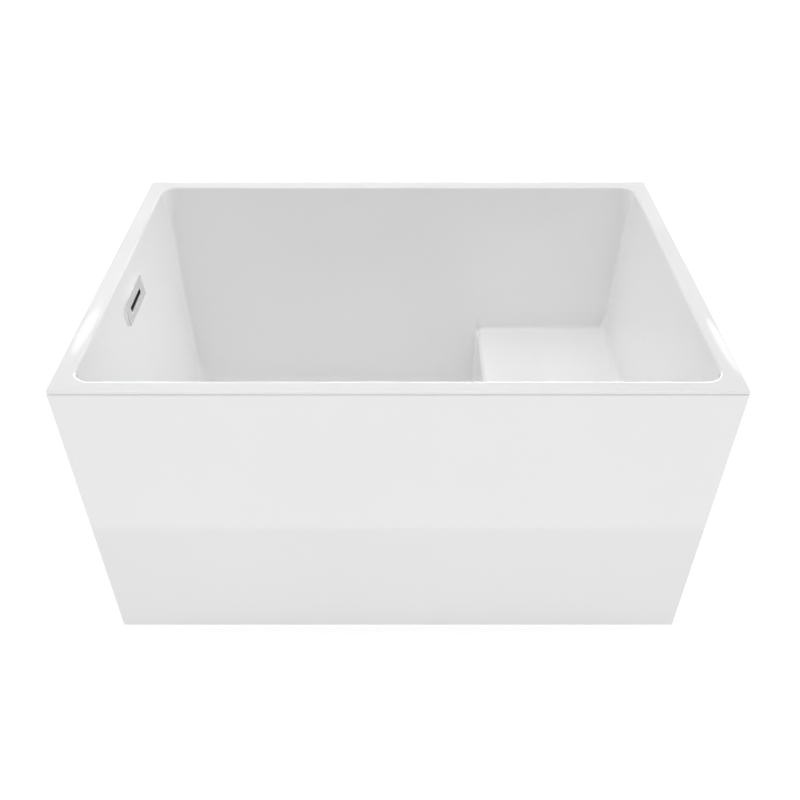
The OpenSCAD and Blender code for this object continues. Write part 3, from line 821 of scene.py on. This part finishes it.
def make_basin():
    """The sheet: a rim of rings with its underside, and the two faces of the well."""
    mesher = Mesher()
    half = 2 * (ARC_STEPS + 1)

    def roll_point(sx, angle, a, b):
        point, out = corner_point(sx, HEIGHT, angle)
        return point - b * unit((sx * LEAN, LEAN, 1)) + a * out

    def outer_point(sx, angle, inset, z):
        c, s = turn(angle)
        r = RIM_CORNER_R - inset
        return sx * (LENGTH / 2 - RIM_CORNER_R) + r * c, WIDTH / 2 - RIM_CORNER_R + r * s, z

    rows = []
    for a, b in rounded(RIM_ROLL_R, FILLET_STEPS):
        rows.append(rim_ring(mesher, lambda sx, angle: roll_point(sx, angle, a, b)))
    under = HEIGHT - RIM_THICK
    edge = [(b, HEIGHT - a) for a, b in rounded(RIM_EDGE_R, 5)]
    edge += [(a, under + b) for a, b in rounded(UNDER_EDGE_R, 2)]
    for inset, z in edge:
        rows.append(rim_ring(mesher, lambda sx, angle: outer_point(sx, angle, inset, z)))

    def under_point(sx, angle):
        point, out = corner_point(sx, under, angle)
        return point + out * WALL

    rows.append(rim_ring(mesher, under_point))
    mesher.rings([row[:half] + row[half:][::-1] for row in rows])
    for grow, row in ((0, rows[0]), (WALL, rows[-1])):
        mesher.mark = 1 if grow else 0
        back, back_left, back_right, marks = shell(mesher, row[:half], grow, 1)
        front, front_left, front_right, marks = shell(mesher, row[half:], grow, -1)
        mesher.rings([back[0], front[0]], closed=False)
        mesher.rings([back[-1], front[-1]], closed=False)
        mesher.face(back_left + front_left[::-1])
        mesher.face(back_right + front_right[::-1])
        foot, seat = marks["foot"], marks["seat"]
        back, front = ([fillet[-1] for fillet in side] for side in (back, front))
        mesher.face(back[:foot + 1] + front[:foot + 1][::-1])
        mesher.face(back[seat:] + front[seat:][::-1])
        mesher.bridge(back[foot:seat + 1], front[foot:seat + 1])
    return mesher.make("basin_shell", [acrylic, fibreglass])


def basin_cuts(basin):
    """The waste's boss, recess and hole, and the overflow's window."""
    boss = [
        (0, BOSS_Z), (BOSS_R - BOSS_EDGE, BOSS_Z), (BOSS_R, BOSS_Z + BOSS_EDGE),
        (BOSS_R, RECESS_Z), (0, RECESS_Z),
    ]
    boolean(basin, turned_piece("boss", fibreglass, WASTE_AXIS, boss), "UNION")
    for radius, low, high in ((WASTE_R, RECESS_Z, FLOOR_Z), (BARREL_R, BOSS_Z - PAST, RECESS_Z)):
        wide, high = radius + WASTE_CLEAR, high + PAST
        hole = [(0, low), (wide, low), (wide, high), (0, high)]
        boolean(basin, turned_piece("hole", acrylic, WASTE_AXIS, hole))
    window = Mesher()
    outline = slot_ring(WINDOW_OUT, steps=8)
    window.solid([
        window.row([on_overflow(x, a, b) for a, b in outline]) for x in (-WALL - PAST, PAST)
    ])
    boolean(basin, window.make("window", [acrylic]))


# Overflow


def on_overflow(x, along, up):
    """A point in the overflow's own frame: into the tub, along the wall, up the wall."""
    c, s = turn(LEAN_ANGLE)
    return np.array([
        -half_x(OVERFLOW_Z) + x * c - up * s, along, OVERFLOW_Z + x * s + up * c
    ])


def slot_ring(out, radius=None, steps=6):
    """An outline round the slot, out from its edge; without a radius its ends are round."""
    half_a, half_b = SLOT_LENGTH / 2 + out, SLOT_HEIGHT / 2 + out
    return box_ring(half_a, half_b, radius or half_b - END_FLAT, steps)


def plate_ring(inset, radius=COVER_CORNER_R):
    """An outline of the plate, in from its edge."""
    return box_ring(COVER_LENGTH / 2 - inset, COVER_HEIGHT / 2 - inset, radius, 6)


def make_overflow_cover():
    """A flat plate with chamfered edges whose slot leads into a neck through the wall."""
    mesher = Mesher()
    side_x, face_x = COVER_THICK - COVER_CHAMFER, COVER_THICK
    # Material of the stretch up to each ring, the ring's place into the tub and its outline
    rings = [
        (2, -NECK_REACH, slot_ring(NECK_OUT)),
        (2, COVER_GAP, slot_ring(NECK_OUT)),
        (0, COVER_GAP, plate_ring(SOFT, 0.5)),
        (0, COVER_GAP + SOFT, plate_ring(0)),
        (0, side_x - SOFT, plate_ring(0)),
        (1, side_x + SOFT * 0.5, plate_ring(SOFT)),
        (1, face_x - SOFT * 0.4, plate_ring(COVER_BEVEL - SOFT, 0.5)),
        (1, face_x, plate_ring(COVER_BEVEL + SOFT, 0.5)),
        (0, face_x, slot_ring(SLOT_CHAMFER, COVER_CORNER_R + SLOT_CHAMFER)),
        (1, face_x - SLOT_CHAMFER, slot_ring(0, COVER_CORNER_R)),
        (2, 0, slot_ring(0, COVER_CORNER_R)),
        (2, -2 * COVER_GAP, slot_ring(LINER_OUT)),
        (2, -NECK_REACH, slot_ring(LINER_OUT)),
    ]
    rows = []
    for _, x, outline in rings:
        push = min(max(x / COVER_THICK, 0), 1) * COVER_WEDGE
        rows.append(mesher.row([
            on_overflow(x + push * (0.5 - b / COVER_HEIGHT), a, b) for a, b in outline
        ]))
    for i, ring in enumerate(rings):
        mesher.mark = ring[0]
        mesher.bridge(rows[i - 1], rows[i], closed=True)
    return mesher.make("overflow_plate", [satin, chrome, pad_plastic])


# Skirt


def make_skirt():
    """The outer shell: one closed profile swept round the four tapering walls."""
    mesher = Mesher()
    top = skirt_high.z / MM
    wall_top = top - SEAM_HEIGHT
    low = SKIRT_LIFT
    flange_z = wall_top - GLUE_FLANGE_T
    profile = [(b, low + a) for a, b in rounded(SKIRT_EDGE_R, 2)]
    profile += [(a, wall_top - b) for a, b in rounded(SKIRT_EDGE_R, 3)]
    profile += [
        (SEAM_DEPTH, wall_top), (SEAM_DEPTH, top), (GLUE_FLANGE, top),
        (GLUE_FLANGE, flange_z), (SKIRT_WALL, flange_z), (SKIRT_WALL, low + SKIRT_WALL),
        (FOOT_FLANGE - FLANGE_EDGE, low + SKIRT_WALL), (FOOT_FLANGE, low + SKIRT_WALL - FLANGE_EDGE),
        (FOOT_FLANGE, low + FLANGE_EDGE), (FOOT_FLANGE - FLANGE_EDGE, low),
    ]
    rows = []
    for inset, z in profile:
        taper = SKIRT_TAPER * (HEIGHT - z) / HEIGHT
        outline = box_ring(
            LENGTH / 2 - taper - inset, WIDTH / 2 - taper - inset,
            max(SKIRT_CORNER_R - inset, LEAST_CORNER_R),
        )
        rows.append(mesher.row([(x, y, z) for x, y in outline]))
    mesher.rings(rows, looped=True)
    return mesher.make("skirt_shell", [acrylic])


# Waste and stopper


def dress_turned(name, node, material, outline, looped=True, body="root"):
    """A turned piece on the waste's axis in place of a CAD node."""
    dress(turned_piece(name, material, WASTE_AXIS, outline, looped), node, body)


def make_waste():
    """Flange, threaded barrel and spoked hub in one, with the ring and sleeve round them."""
    low, high = span_z("waste_flange")
    seat = RECESS_Z + FLANGE_PLATE
    outline = filleted([
        (BORE_R, low, FINE_R), (BARREL_R, low, 0), (BARREL_R, RECESS_Z, 0),
        (WASTE_R, RECESS_Z, FINE_R / 2), (WASTE_R, high, 1), (PLUG_R + PLUG_LIP, high, PLUG_LIP),
        (PLUG_R, seat, 0.5), (BORE_R + FLANGE_PLATE, seat, 2 * FINE_R),
        (BORE_R, RECESS_Z - 0.5, 0.5),
    ])
    turn_at = outline.index((BARREL_R, low)) + 1
    outline[turn_at:turn_at] = thread_rings(BARREL_R, *BARREL_THREAD, low + 1, BOSS_Z)
    flange = turned_piece("waste_fitting", chrome, WASTE_AXIS, outline, looped=True)
    hub = washer(SLEEVE_R, HUB_R, HUB_Z, HUB_Z + HUB_H, FINE_R, 0.6)
    boolean(flange, turned_piece("hub", chrome, WASTE_AXIS, hub, looped=True), "UNION")
    spokes = Mesher()
    section = box_ring(SPOKE_T / 2, HUB_H / 2 - SPOKE_SINK, 2 * FINE_R)
    for i in range(SPOKES):
        c, s = turn(360 / SPOKES * (i + 0.5))

        def along_spoke(a, b, out):
            return WASTE_X + c * out - s * a, s * out + c * a, HUB_Z + HUB_H / 2 + b

        add_prism(
            spokes, section, along_spoke, HUB_R - SPOKE_SINK, BORE_R + SPOKE_SINK, FINE_R / 2
        )
    boolean(flange, spokes.make("spokes", [chrome]), "UNION")
    dress(flange, "waste_flange")

    low, high = span_z("waste_gasket")
    outline = washer(BARREL_R + LOOSE_GAP, WASTE_R, low, high, FINE_R, 2 * FINE_R)
    dress_turned("waste_washer", "waste_gasket", rubber, outline)
    low, high = span_z("stopper_sleeve")
    bore, collar = STEM_R + THREAD_GAP, high - SLEEVE_COLLAR
    dress_turned("stopper_guide", "stopper_sleeve", brass, filleted([
        (bore, low, 0.3), (SLEEVE_R, low, 0.5), (SLEEVE_R, collar, 0), (HUB_R, collar, 0.2),
        (HUB_R, high, 0.6), (bore, high, 0.3),
    ]))


def make_stopper():
    """The domed cap, the ring that seals it and its stem, which ends in a clip's groove."""
    low, high = span_z("stopper_cap")
    c, s = turn(CAP_EDGE_TURN)
    half = PLUG_R - CAP_EDGE_R + CAP_EDGE_R * c
    dome_rise = high - low - CAP_EDGE_R - CAP_EDGE_R * s
    dome_r = (half ** 2 + dome_rise ** 2) / (2 * dome_rise)
    hollow_r, hollow_z = PLUG_R - CAP_SKIRT_T, low + CAP_HOLLOW
    outline = [(0, hollow_z), (hollow_r, hollow_z), (hollow_r, low)]
    for angle in spread(-90, CAP_EDGE_TURN, FILLET_STEPS):
        ca, sa = turn(angle)
        outline.append((PLUG_R - CAP_EDGE_R * (1 - ca), low + CAP_EDGE_R * (1 + sa)))
    for t in spread(1, 0, 2 * FILLET_STEPS)[1:]:
        outline.append((half * t, high - dome_r + math.sqrt(dome_r ** 2 - (half * t) ** 2)))
    dress_turned("stopper_dome", "stopper_cap", chrome, outline, False, "stopper")

    low, high = span_z("stopper_seal")
    inner, outer = BORE_R + 2, box_mm("stopper_seal")[1][1]
    lip_z = low + SEAL_LIP_DROP
    dress_turned("stopper_ring", "stopper_seal", rubber, filleted([
        (inner, lip_z, FINE_R), (outer - SEAL_LIP, lip_z, FINE_R), (outer, low, FINE_R),
        (outer, high, 0.3), (inner, high, 0.3),
    ]), True, "stopper")

    low, high = span_z("stopper_stem")
    clip_low, clip_r = low + CLIP_RISE, STEM_R - CLIP_DEPTH
    dress_turned("stopper_pin", "stopper_stem", chrome, [
        (0, low), (STEM_R - STEM_TIP, low), (STEM_R, low + STEM_TIP), (STEM_R, clip_low),
        (clip_r, clip_low), (clip_r, clip_low + CLIP_WIDTH), (STEM_R, clip_low + CLIP_WIDTH),
        (STEM_R, high), (0, high),
    ], False, "stopper")


# Support frame


def add_tube(mesher, place, low, high):
    """Adds a square steel tube with rounded corners."""
    outer = box_ring(TUBE / 2, TUBE / 2, TUBE_ROUND)
    inner = box_ring(TUBE / 2 - TUBE_WALL, TUBE / 2 - TUBE_WALL, TUBE_ROUND - TUBE_WALL)
    mesher.rings([
        mesher.row([place(a, b, along) for a, b in outline])
        for outline, along in ((outer, low), (outer, high), (inner, high), (inner, low))
    ], looped=True)


def add_bead(mesher, start, end):
    """Adds a rippled weld bead between two points."""
    start, end = np.array(start, float), np.array(end, float)
    length = np.linalg.norm(end - start)
    ahead = unit(end - start)
    side = unit(np.cross(ahead, OBLIQUE))
    over = np.cross(ahead, side)
    rows = []
    for at in spread(0, length, round(length / BEAD_STEP)):
        taper = min(smooth(at / BEAD_R), smooth((length - at) / BEAD_R))
        ripple = 1 - BEAD_RIPPLE + BEAD_RIPPLE * turn(360 * at / BEAD_WAVE)[1]
        radius = BEAD_R * (BEAD_TIP + (1 - BEAD_TIP) * taper) * ripple
        points = []
        for angle in range(0, 360, BEAD_TURN):
            c, s = turn(angle)
            points.append(start + ahead * at + (side * c + over * s) * radius)
        rows.append(mesher.row(points))
    mesher.solid(rows)


def make_frame():
    """Rails, cross bars and seat props of square tube, with the welds between them."""
    low, high = box_mm("rail_front")
    rail_y, mid_z = -middle("rail_front")[1], middle("rail_front")[2]
    feet = [middle("foot_pad_" + name) for name in FEET]
    bar_y = rail_y - TUBE / 2
    reach = TUBE / 2 - TUBE_ROUND
    welds = Mesher()
    for name, side in (("front", -1), ("back", 1)):
        mesher = Mesher()
        y = side * rail_y
        add_tube(mesher, lambda a, b, along: (along, y + a, mid_z + b), low[0], high[0])
        rail = mesher.make(f"tube_rail_{name}", [paint])
        drills = Mesher()
        holes = [(foot[0], BUSH_R) for foot in feet if foot[1] * side > TUBE]
        holes += [(x, SCREW_R + SCREW_CLEAR) for x, at in screw_places() if at == side]
        for x, radius in holes:
            add_turned(drills, upright(x, y), drill(radius, low[2], high[2]))
        boolean(rail, drills.make("drills", [paint]))
        dress(rail, f"rail_{name}")

        prop_low, prop_high = box_mm(f"seat_prop_{name}")
        x = middle(f"seat_prop_{name}")[0]
        plate = prop_high[0] - x
        under = prop_high[2] - PLATE_T
        mesher = Mesher()
        add_tube(mesher, lambda a, b, along: (x + a, y + b, along), prop_low[2], under)
        outline = box_ring(plate, plate, PLATE_CORNER_R)
        add_prism(mesher, outline, upright(x, y), under, prop_high[2], EASED_EDGE)
        dress(mesher.make(f"tube_prop_{name}", [paint]), f"seat_prop_{name}")
        for sx in (-1, 1):
            edge = x + sx * TUBE / 2
            add_bead(welds, (edge, y - reach, prop_low[2]), (edge, y + reach, prop_low[2]))
            add_bead(welds, (edge, y - reach, under), (edge, y + reach, under))
            end = y + sx * TUBE / 2
            add_bead(welds, (x - reach, end, under), (x + reach, end, under))
    for name in ("left", "mid", "right"):
        x = middle(f"cross_bar_{name}")[0]
        mesher = Mesher()
        add_tube(mesher, lambda a, b, along: (x + a, along, mid_z + b), -bar_y, bar_y)
        bar = mesher.make(f"tube_bar_{name}", [paint])
        for foot in feet:
            if max(abs(foot[0] - x), abs(foot[1])) < TUBE / 2:
                outline = drill(BUSH_R, low[2], high[2])
                boolean(bar, turned_piece("drill", paint, upright(*foot[:2]), outline))
        dress(bar, f"cross_bar_{name}")
        for sx in (-1, 1):
            for sy in (-1, 1):
                corner = (x + sx * TUBE / 2, sy * bar_y)
                add_bead(welds, (*corner, mid_z - reach), (*corner, mid_z + reach))
    beads = welds.make("frame_welds", [paint])
    smooth_shade(beads, angle=60)
    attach(beads, "root")


# Feet


def make_feet():
    """Threaded studs in moulded pads, with their bushes and lock nuts."""
    flat = NUT_R * turn(30)[0]
    shy, full = hexagon(flat, NUT_TURNED_R), hexagon(flat, NUT_R)
    nuts, bushes = Mesher(), Mesher()
    nut_low, nut_high = span_z("lock_nuts")
    bore = STUD_R + THREAD_GAP
    bush = washer(bore, BUSH_R, *span_z("foot_bushes"), FINE_R, FINE_R)
    for name in FEET:
        place = middle("foot_pad_" + name)
        axis = upright(*place[:2])
        body = "foot_" + name
        add_turned(nuts, axis, [
            (bore + BORE_CHAMFER, nut_low), (shy, nut_low), (full, nut_low + NUT_CHAMFER),
            (full, nut_high - NUT_CHAMFER), (shy, nut_high), (bore + BORE_CHAMFER, nut_high),
            (bore, nut_high - BORE_CHAMFER), (bore, nut_low + BORE_CHAMFER),
        ], looped=True, steps=48)
        add_turned(bushes, axis, bush, looped=True)

        low, high = span_z("foot_stud_" + name)
        pad_high = box_mm("foot_pad_" + name)[1]
        pad_r, pad_top = pad_high[0] - place[0], pad_high[2]
        collar = pad_top + COLLAR_H
        stud = Mesher()
        add_turned(stud, axis, [
            (0, low), (STUD_R - 1, low), (STUD_R, low + 1), (STUD_R, pad_top), (shy, pad_top),
            (full, pad_top + NUT_CHAMFER), (full, collar - NUT_CHAMFER), (shy, collar), (STUD_R, collar),
            *thread_rings(STUD_R, *STUD_THREAD, collar + 0.5, high - 1),
            (STUD_R - 1, high), (0, high),
        ], steps=36)
        dress(stud.make("screw_" + name, [zinc]), "foot_stud_" + name, body)

        grooves = []
        for share in GROOVES:
            start = pad_r * share
            end = start + GROOVE_WIDTH
            grooves += [
                (start, 0, 0.2), (start + GROOVE_SIDE, GROOVE_DEPTH, 0.2),
                (end - GROOVE_SIDE, GROOVE_DEPTH, 0.2), (end, 0, 0.2),
            ]
        socket_r = STUD_R + LOOSE_GAP
        outline = filleted([
            (0, 0, 0), *grooves, (pad_r, 0, 1.8), (pad_r, PAD_SIDE, 0.6),
            (pad_r - PAD_SLOPE_REACH, PAD_SLOPE, 1.2), (NUT_R + 2, PAD_TOP, 1),
            (NUT_R + FINE_R, pad_top, 0.6), (socket_r, pad_top, 0.3), (socket_r, low, 0), (0, low, 0),
        ])
        dress(turned_piece("shoe_" + name, pad_plastic, axis, outline), "foot_pad_" + name, body)
    dress(nuts.make("hex_nuts", [zinc]), "lock_nuts")
    dress(bushes.make("threaded_bushes", [zinc]), "foot_bushes")


# Screws


def screw_places():
    """Where the screws hold the floor board on the rails, as a place along and a side."""
    low, high = box_mm("board_screws")
    return [(x, side) for x in (low[0] + HEAD_R, high[0] - HEAD_R) for side in (-1, 1)]


def make_screws():
    """Screws with a hexagon socket, from under the rails up into the floor board."""
    low, high = box_mm("board_screws")
    rail_y = high[1] - HEAD_R
    seat = low[2] + HEAD_H
    length = high[2] - seat
    socket = hexagon(SOCKET_FLAT, HEAD_R)
    crown = [(r * HEAD_R, -h * HEAD_H) for r, h in HEAD_CROWN]
    mesher = Mesher()
    for x, side in screw_places():
        add_turned(mesher, upright(x, side * rail_y, seat), [
            (0, -SOCKET_FLOOR), (socket, -SOCKET_FLOOR), (socket, -HEAD_H), *crown,
            (HEAD_R, 0), (SCREW_R, 0),
            *thread_rings(SCREW_R, *SCREW_THREAD, 0.1, length - SCREW_R),
            (0, length),
        ], steps=24)
    dress(mesher.make("frame_screws", [zinc]), "board_screws")


basin = make_basin()
basin_cuts(basin)
dress(basin, "basin")
dress(make_skirt(), "skirt")
dress(make_overflow_cover(), "overflow_cover", angle=20)
make_waste()
make_stopper()
make_frame()
make_feet()
make_screws()
for name, slot in SLOT_OF.items():
    NODES[name].data.materials.clear()
    NODES[name].data.materials.append(SLOTS[slot])
    if name not in dressed:
        ease = NODES[name].modifiers.new("eased edges", "BEVEL")
        ease.width = EASED_EDGE * MM
        ease.segments = 2


# Camera, floor and light

LENS_MM = 39.65
SENSOR_MM = 36.0
CAMERA_AT = (0, -1.5539, 1.6197)
CAMERA_TILT = 55.094
SHIFT_X = 0.002375
SHIFT_Y = -0.1035
FRAME_PX = 800

camera_data = bpy.data.cameras.new("camera")
camera_data.lens = LENS_MM
camera_data.sensor_width = SENSOR_MM
camera_data.shift_x = SHIFT_X
camera_data.shift_y = SHIFT_Y
camera = add_object("camera", camera_data)
camera.location = CAMERA_AT
camera.rotation_euler = (math.radians(CAMERA_TILT), 0, 0)
scene.camera = camera

FLOOR_REACH = 14000
# The floor glows more with distance from the tub, between two distances in metres
FLOOR_GLOW = {"From_Min": 1.8, "From_Max": 5, "To_Min": 0.358, "To_Max": 1}
WORLD_LEVEL = 0.476
# Soft boxes: place, point aimed at, size, spread in degrees and watts. A grid narrows the last
# three, so that they only reach inside the tub
LIGHTS = {
    "top box": ((0, -0.4, 3.6), (0, 0, 0.5), (3, 2), 180, 18.3),
    "left high box": ((-3, 0, 3.5), (0, 0, 0.4), (1.5, 1.5), 180, 22),
    "right high box": ((3, 0, 3.5), (0, 0, 0.4), (1.5, 1.5), 180, 25),
    "seat box": ((0.33, 0, 2.2), (0.33, 0, 0), (0.35, 0.4), 16, 0.038),
    "right wall box": ((-1.4, 0, 2.2), (0.6, 0, 0.42), (0.5, 0.5), 24, 0.14),
    "left wall box": ((1.4, 0, 2.2), (-0.6, 0, 0.42), (0.5, 0.5), 24, 0.3),
}
# Strips that only show in gloss, as fine lines along the edges and a soft shine. Each: side of
# the rim that it is measured from, rise in degrees, distance, size and radiance
STRIPS = {
    "roll strip": (-1, 15, 20, (16.4, 5), 18),
    "back strip": (-1, 25.5, 20, (26, 2), 0.55),
    "edge strip": (-1, 132, 3, (3.4, 1.3), 4),
}
# Pixels where the photo's rim shines: the ends of each shine, and its width
RIM_SHINES = {
    "left rim light": ((99, 309), (72, 353), 14),
    "right rim light": ((708, 318), (742, 371), 12),
}
RIM_LIGHT_AWAY = 3.5
RIM_LIGHT_RADIANCE = 2.4
# The face below this height mirrors a dark sheet on the floor, which paints a darker reflection there
SHADE_HEIGHT = 284
SHADE_Z = 2
SHADE_TUCK = 1
SHADE_LEVEL = 0.5


def area_light(name, shape, size, watts):
    """An area light that the camera doesn't see."""
    data = bpy.data.lights.new(name, "AREA")
    data.shape = shape
    data.size, data.size_y = size
    data.energy = watts
    light = add_object(name, data)
    light.visible_camera = False
    return light


def soft_light(name, at, aim, size, beam, watts):
    """A rectangular light aimed at a point."""
    light = area_light(name, "RECTANGLE", size, watts)
    light.data.spread = math.radians(beam)
    light.location = at
    light.rotation_euler = (Vector(aim) - Vector(at)).to_track_quat("-Z", "Y").to_euler()
    return light


def strip_light(name, side, rise, away, size, radiance):
    """A long light that faces the rim's front or back edge and adds no soft light."""
    edge = Vector((0, side * WIDTH / 2, HEIGHT)) * MM
    c, s = turn(rise)
    watts = radiance * math.pi * size[0] * size[1]
    light = soft_light(name, edge + Vector((0, c, s)) * away, edge, size, 180, watts)
    light.visible_diffuse = False


def mirrored_in_rim(px, py, away):
    """Where a ray from the camera through a pixel goes after the rim mirrors it."""
    x = (px / FRAME_PX - 0.5 + SHIFT_X) * SENSOR_MM
    y = (0.5 - py / FRAME_PX + SHIFT_Y) * SENSOR_MM
    ray = camera.rotation_euler.to_matrix() @ Vector((x, y, -LENS_MM)).normalized()
    start = Vector(CAMERA_AT)
    hit = start + ray * ((HEIGHT * MM - start.z) / ray.z)
    return hit, hit + Vector((ray.x, ray.y, -ray.z)) * away


def rim_light(name, end_a, end_b, wide):
    """An oval light whose mirror image in the rim covers the given pixels."""
    a, b = Vector(end_a), Vector(end_b)
    across = Vector(((b - a).y, -(b - a).x)).normalized() * wide / 2
    mid = (a + b) / 2
    hit, centre = mirrored_in_rim(*mid, RIM_LIGHT_AWAY)
    far = [mirrored_in_rim(*p, RIM_LIGHT_AWAY)[1] for p in (a, b, mid - across, mid + across)]
    back = (centre - hit).normalized()
    long_axis = far[1] - far[0]
    long_axis -= back * long_axis.dot(back)
    side_axis = back.cross(long_axis).normalized()
    size = (long_axis.length, abs((far[3] - far[2]).dot(side_axis)))
    watts = RIM_LIGHT_RADIANCE * math.pi * math.pi * size[0] * size[1] / 4
    light = area_light(name, "ELLIPSE", size, watts)
    turned = Matrix((long_axis.normalized(), side_axis, back)).transposed()
    light.matrix_world = Matrix.Translation(centre) @ turned.to_4x4()


def stage_quad(name, material, z, half_a, y_a, half_b, y_b):
    """A level piece of the studio between two edges, each a half length and a place."""
    quad = Mesher()
    quad.face(quad.row([(-half_a, y_a, z), (half_a, y_a, z), (half_b, y_b, z), (-half_b, y_b, z)]))
    made = quad.make(name, [material])
    return made


def make_floor():
    """A pale floor that fades into the white round it."""
    material, tree, shader = node_material("pale floor", (0.95, 0.95, 0.95), 0.6)
    put(shader, Emission_Color=(1, 1, 1, 1))
    place = tree.nodes.new("ShaderNodeTexCoord")
    away = tree.nodes.new("ShaderNodeVectorMath")
    away.operation = "LENGTH"
    tree.links.new(place.outputs["Object"], away.inputs[0])
    glow = tree.nodes.new("ShaderNodeMapRange")
    put(glow, **FLOOR_GLOW)
    tree.links.new(away.outputs["Value"], glow.inputs["Value"])
    tree.links.new(glow.outputs["Result"], shader.inputs["Emission Strength"])
    stage_quad("floor", material, 0, FLOOR_REACH, -FLOOR_REACH, FLOOR_REACH, FLOOR_REACH)


def make_shade():
    """A dark strip on the floor that only shows in gloss, as the photo's front face does."""
    # The shade is a painted reflection: a dark sheet that nothing else sees, mirrored as a darker band
    # low on the front face
    material, tree, shader = node_material("painted reflection sheet", (0, 0, 0), 1)
    put(shader, Emission_Color=(1, 1, 1, 1), Emission_Strength=SHADE_LEVEL)
    share = SHADE_HEIGHT / (CAMERA_AT[2] / MM - SHADE_HEIGHT)
    far = LENGTH / 2 * (1 + share)
    far_y = -WIDTH / 2 + share * (WIDTH / 2 + CAMERA_AT[1] / MM)
    near = LENGTH / 2 - SKIRT_TAPER
    near_y = -WIDTH / 2 + SKIRT_TAPER - SHADE_TUCK
    shade = stage_quad("shade", material, SHADE_Z, far, far_y, near, near_y)
    shade.visible_camera = False
    shade.visible_diffuse = False
    shade.visible_shadow = False
    shade.visible_transmission = False


def make_world():
    """A white backdrop that lights the tub less than it shows."""
    world = bpy.data.worlds.new("studio")
    world.use_nodes = True
    tree = world.node_tree
    ray = tree.nodes.new("ShaderNodeLightPath")
    background = tree.nodes["Background"]
    put(background, Color=(1, 1, 1, 1))
    strength = to_range(tree, ray.outputs["Is Camera Ray"], WORLD_LEVEL, 1)
    tree.links.new(strength, background.inputs["Strength"])
    scene.world = world


make_floor()
make_shade()
for name, box in LIGHTS.items():
    soft_light(name, *box)
for name, strip in STRIPS.items():
    strip_light(name, *strip)
for name, shine in RIM_SHINES.items():
    rim_light(name, *shine)
make_world()
scene.view_settings.view_transform = "Standard"
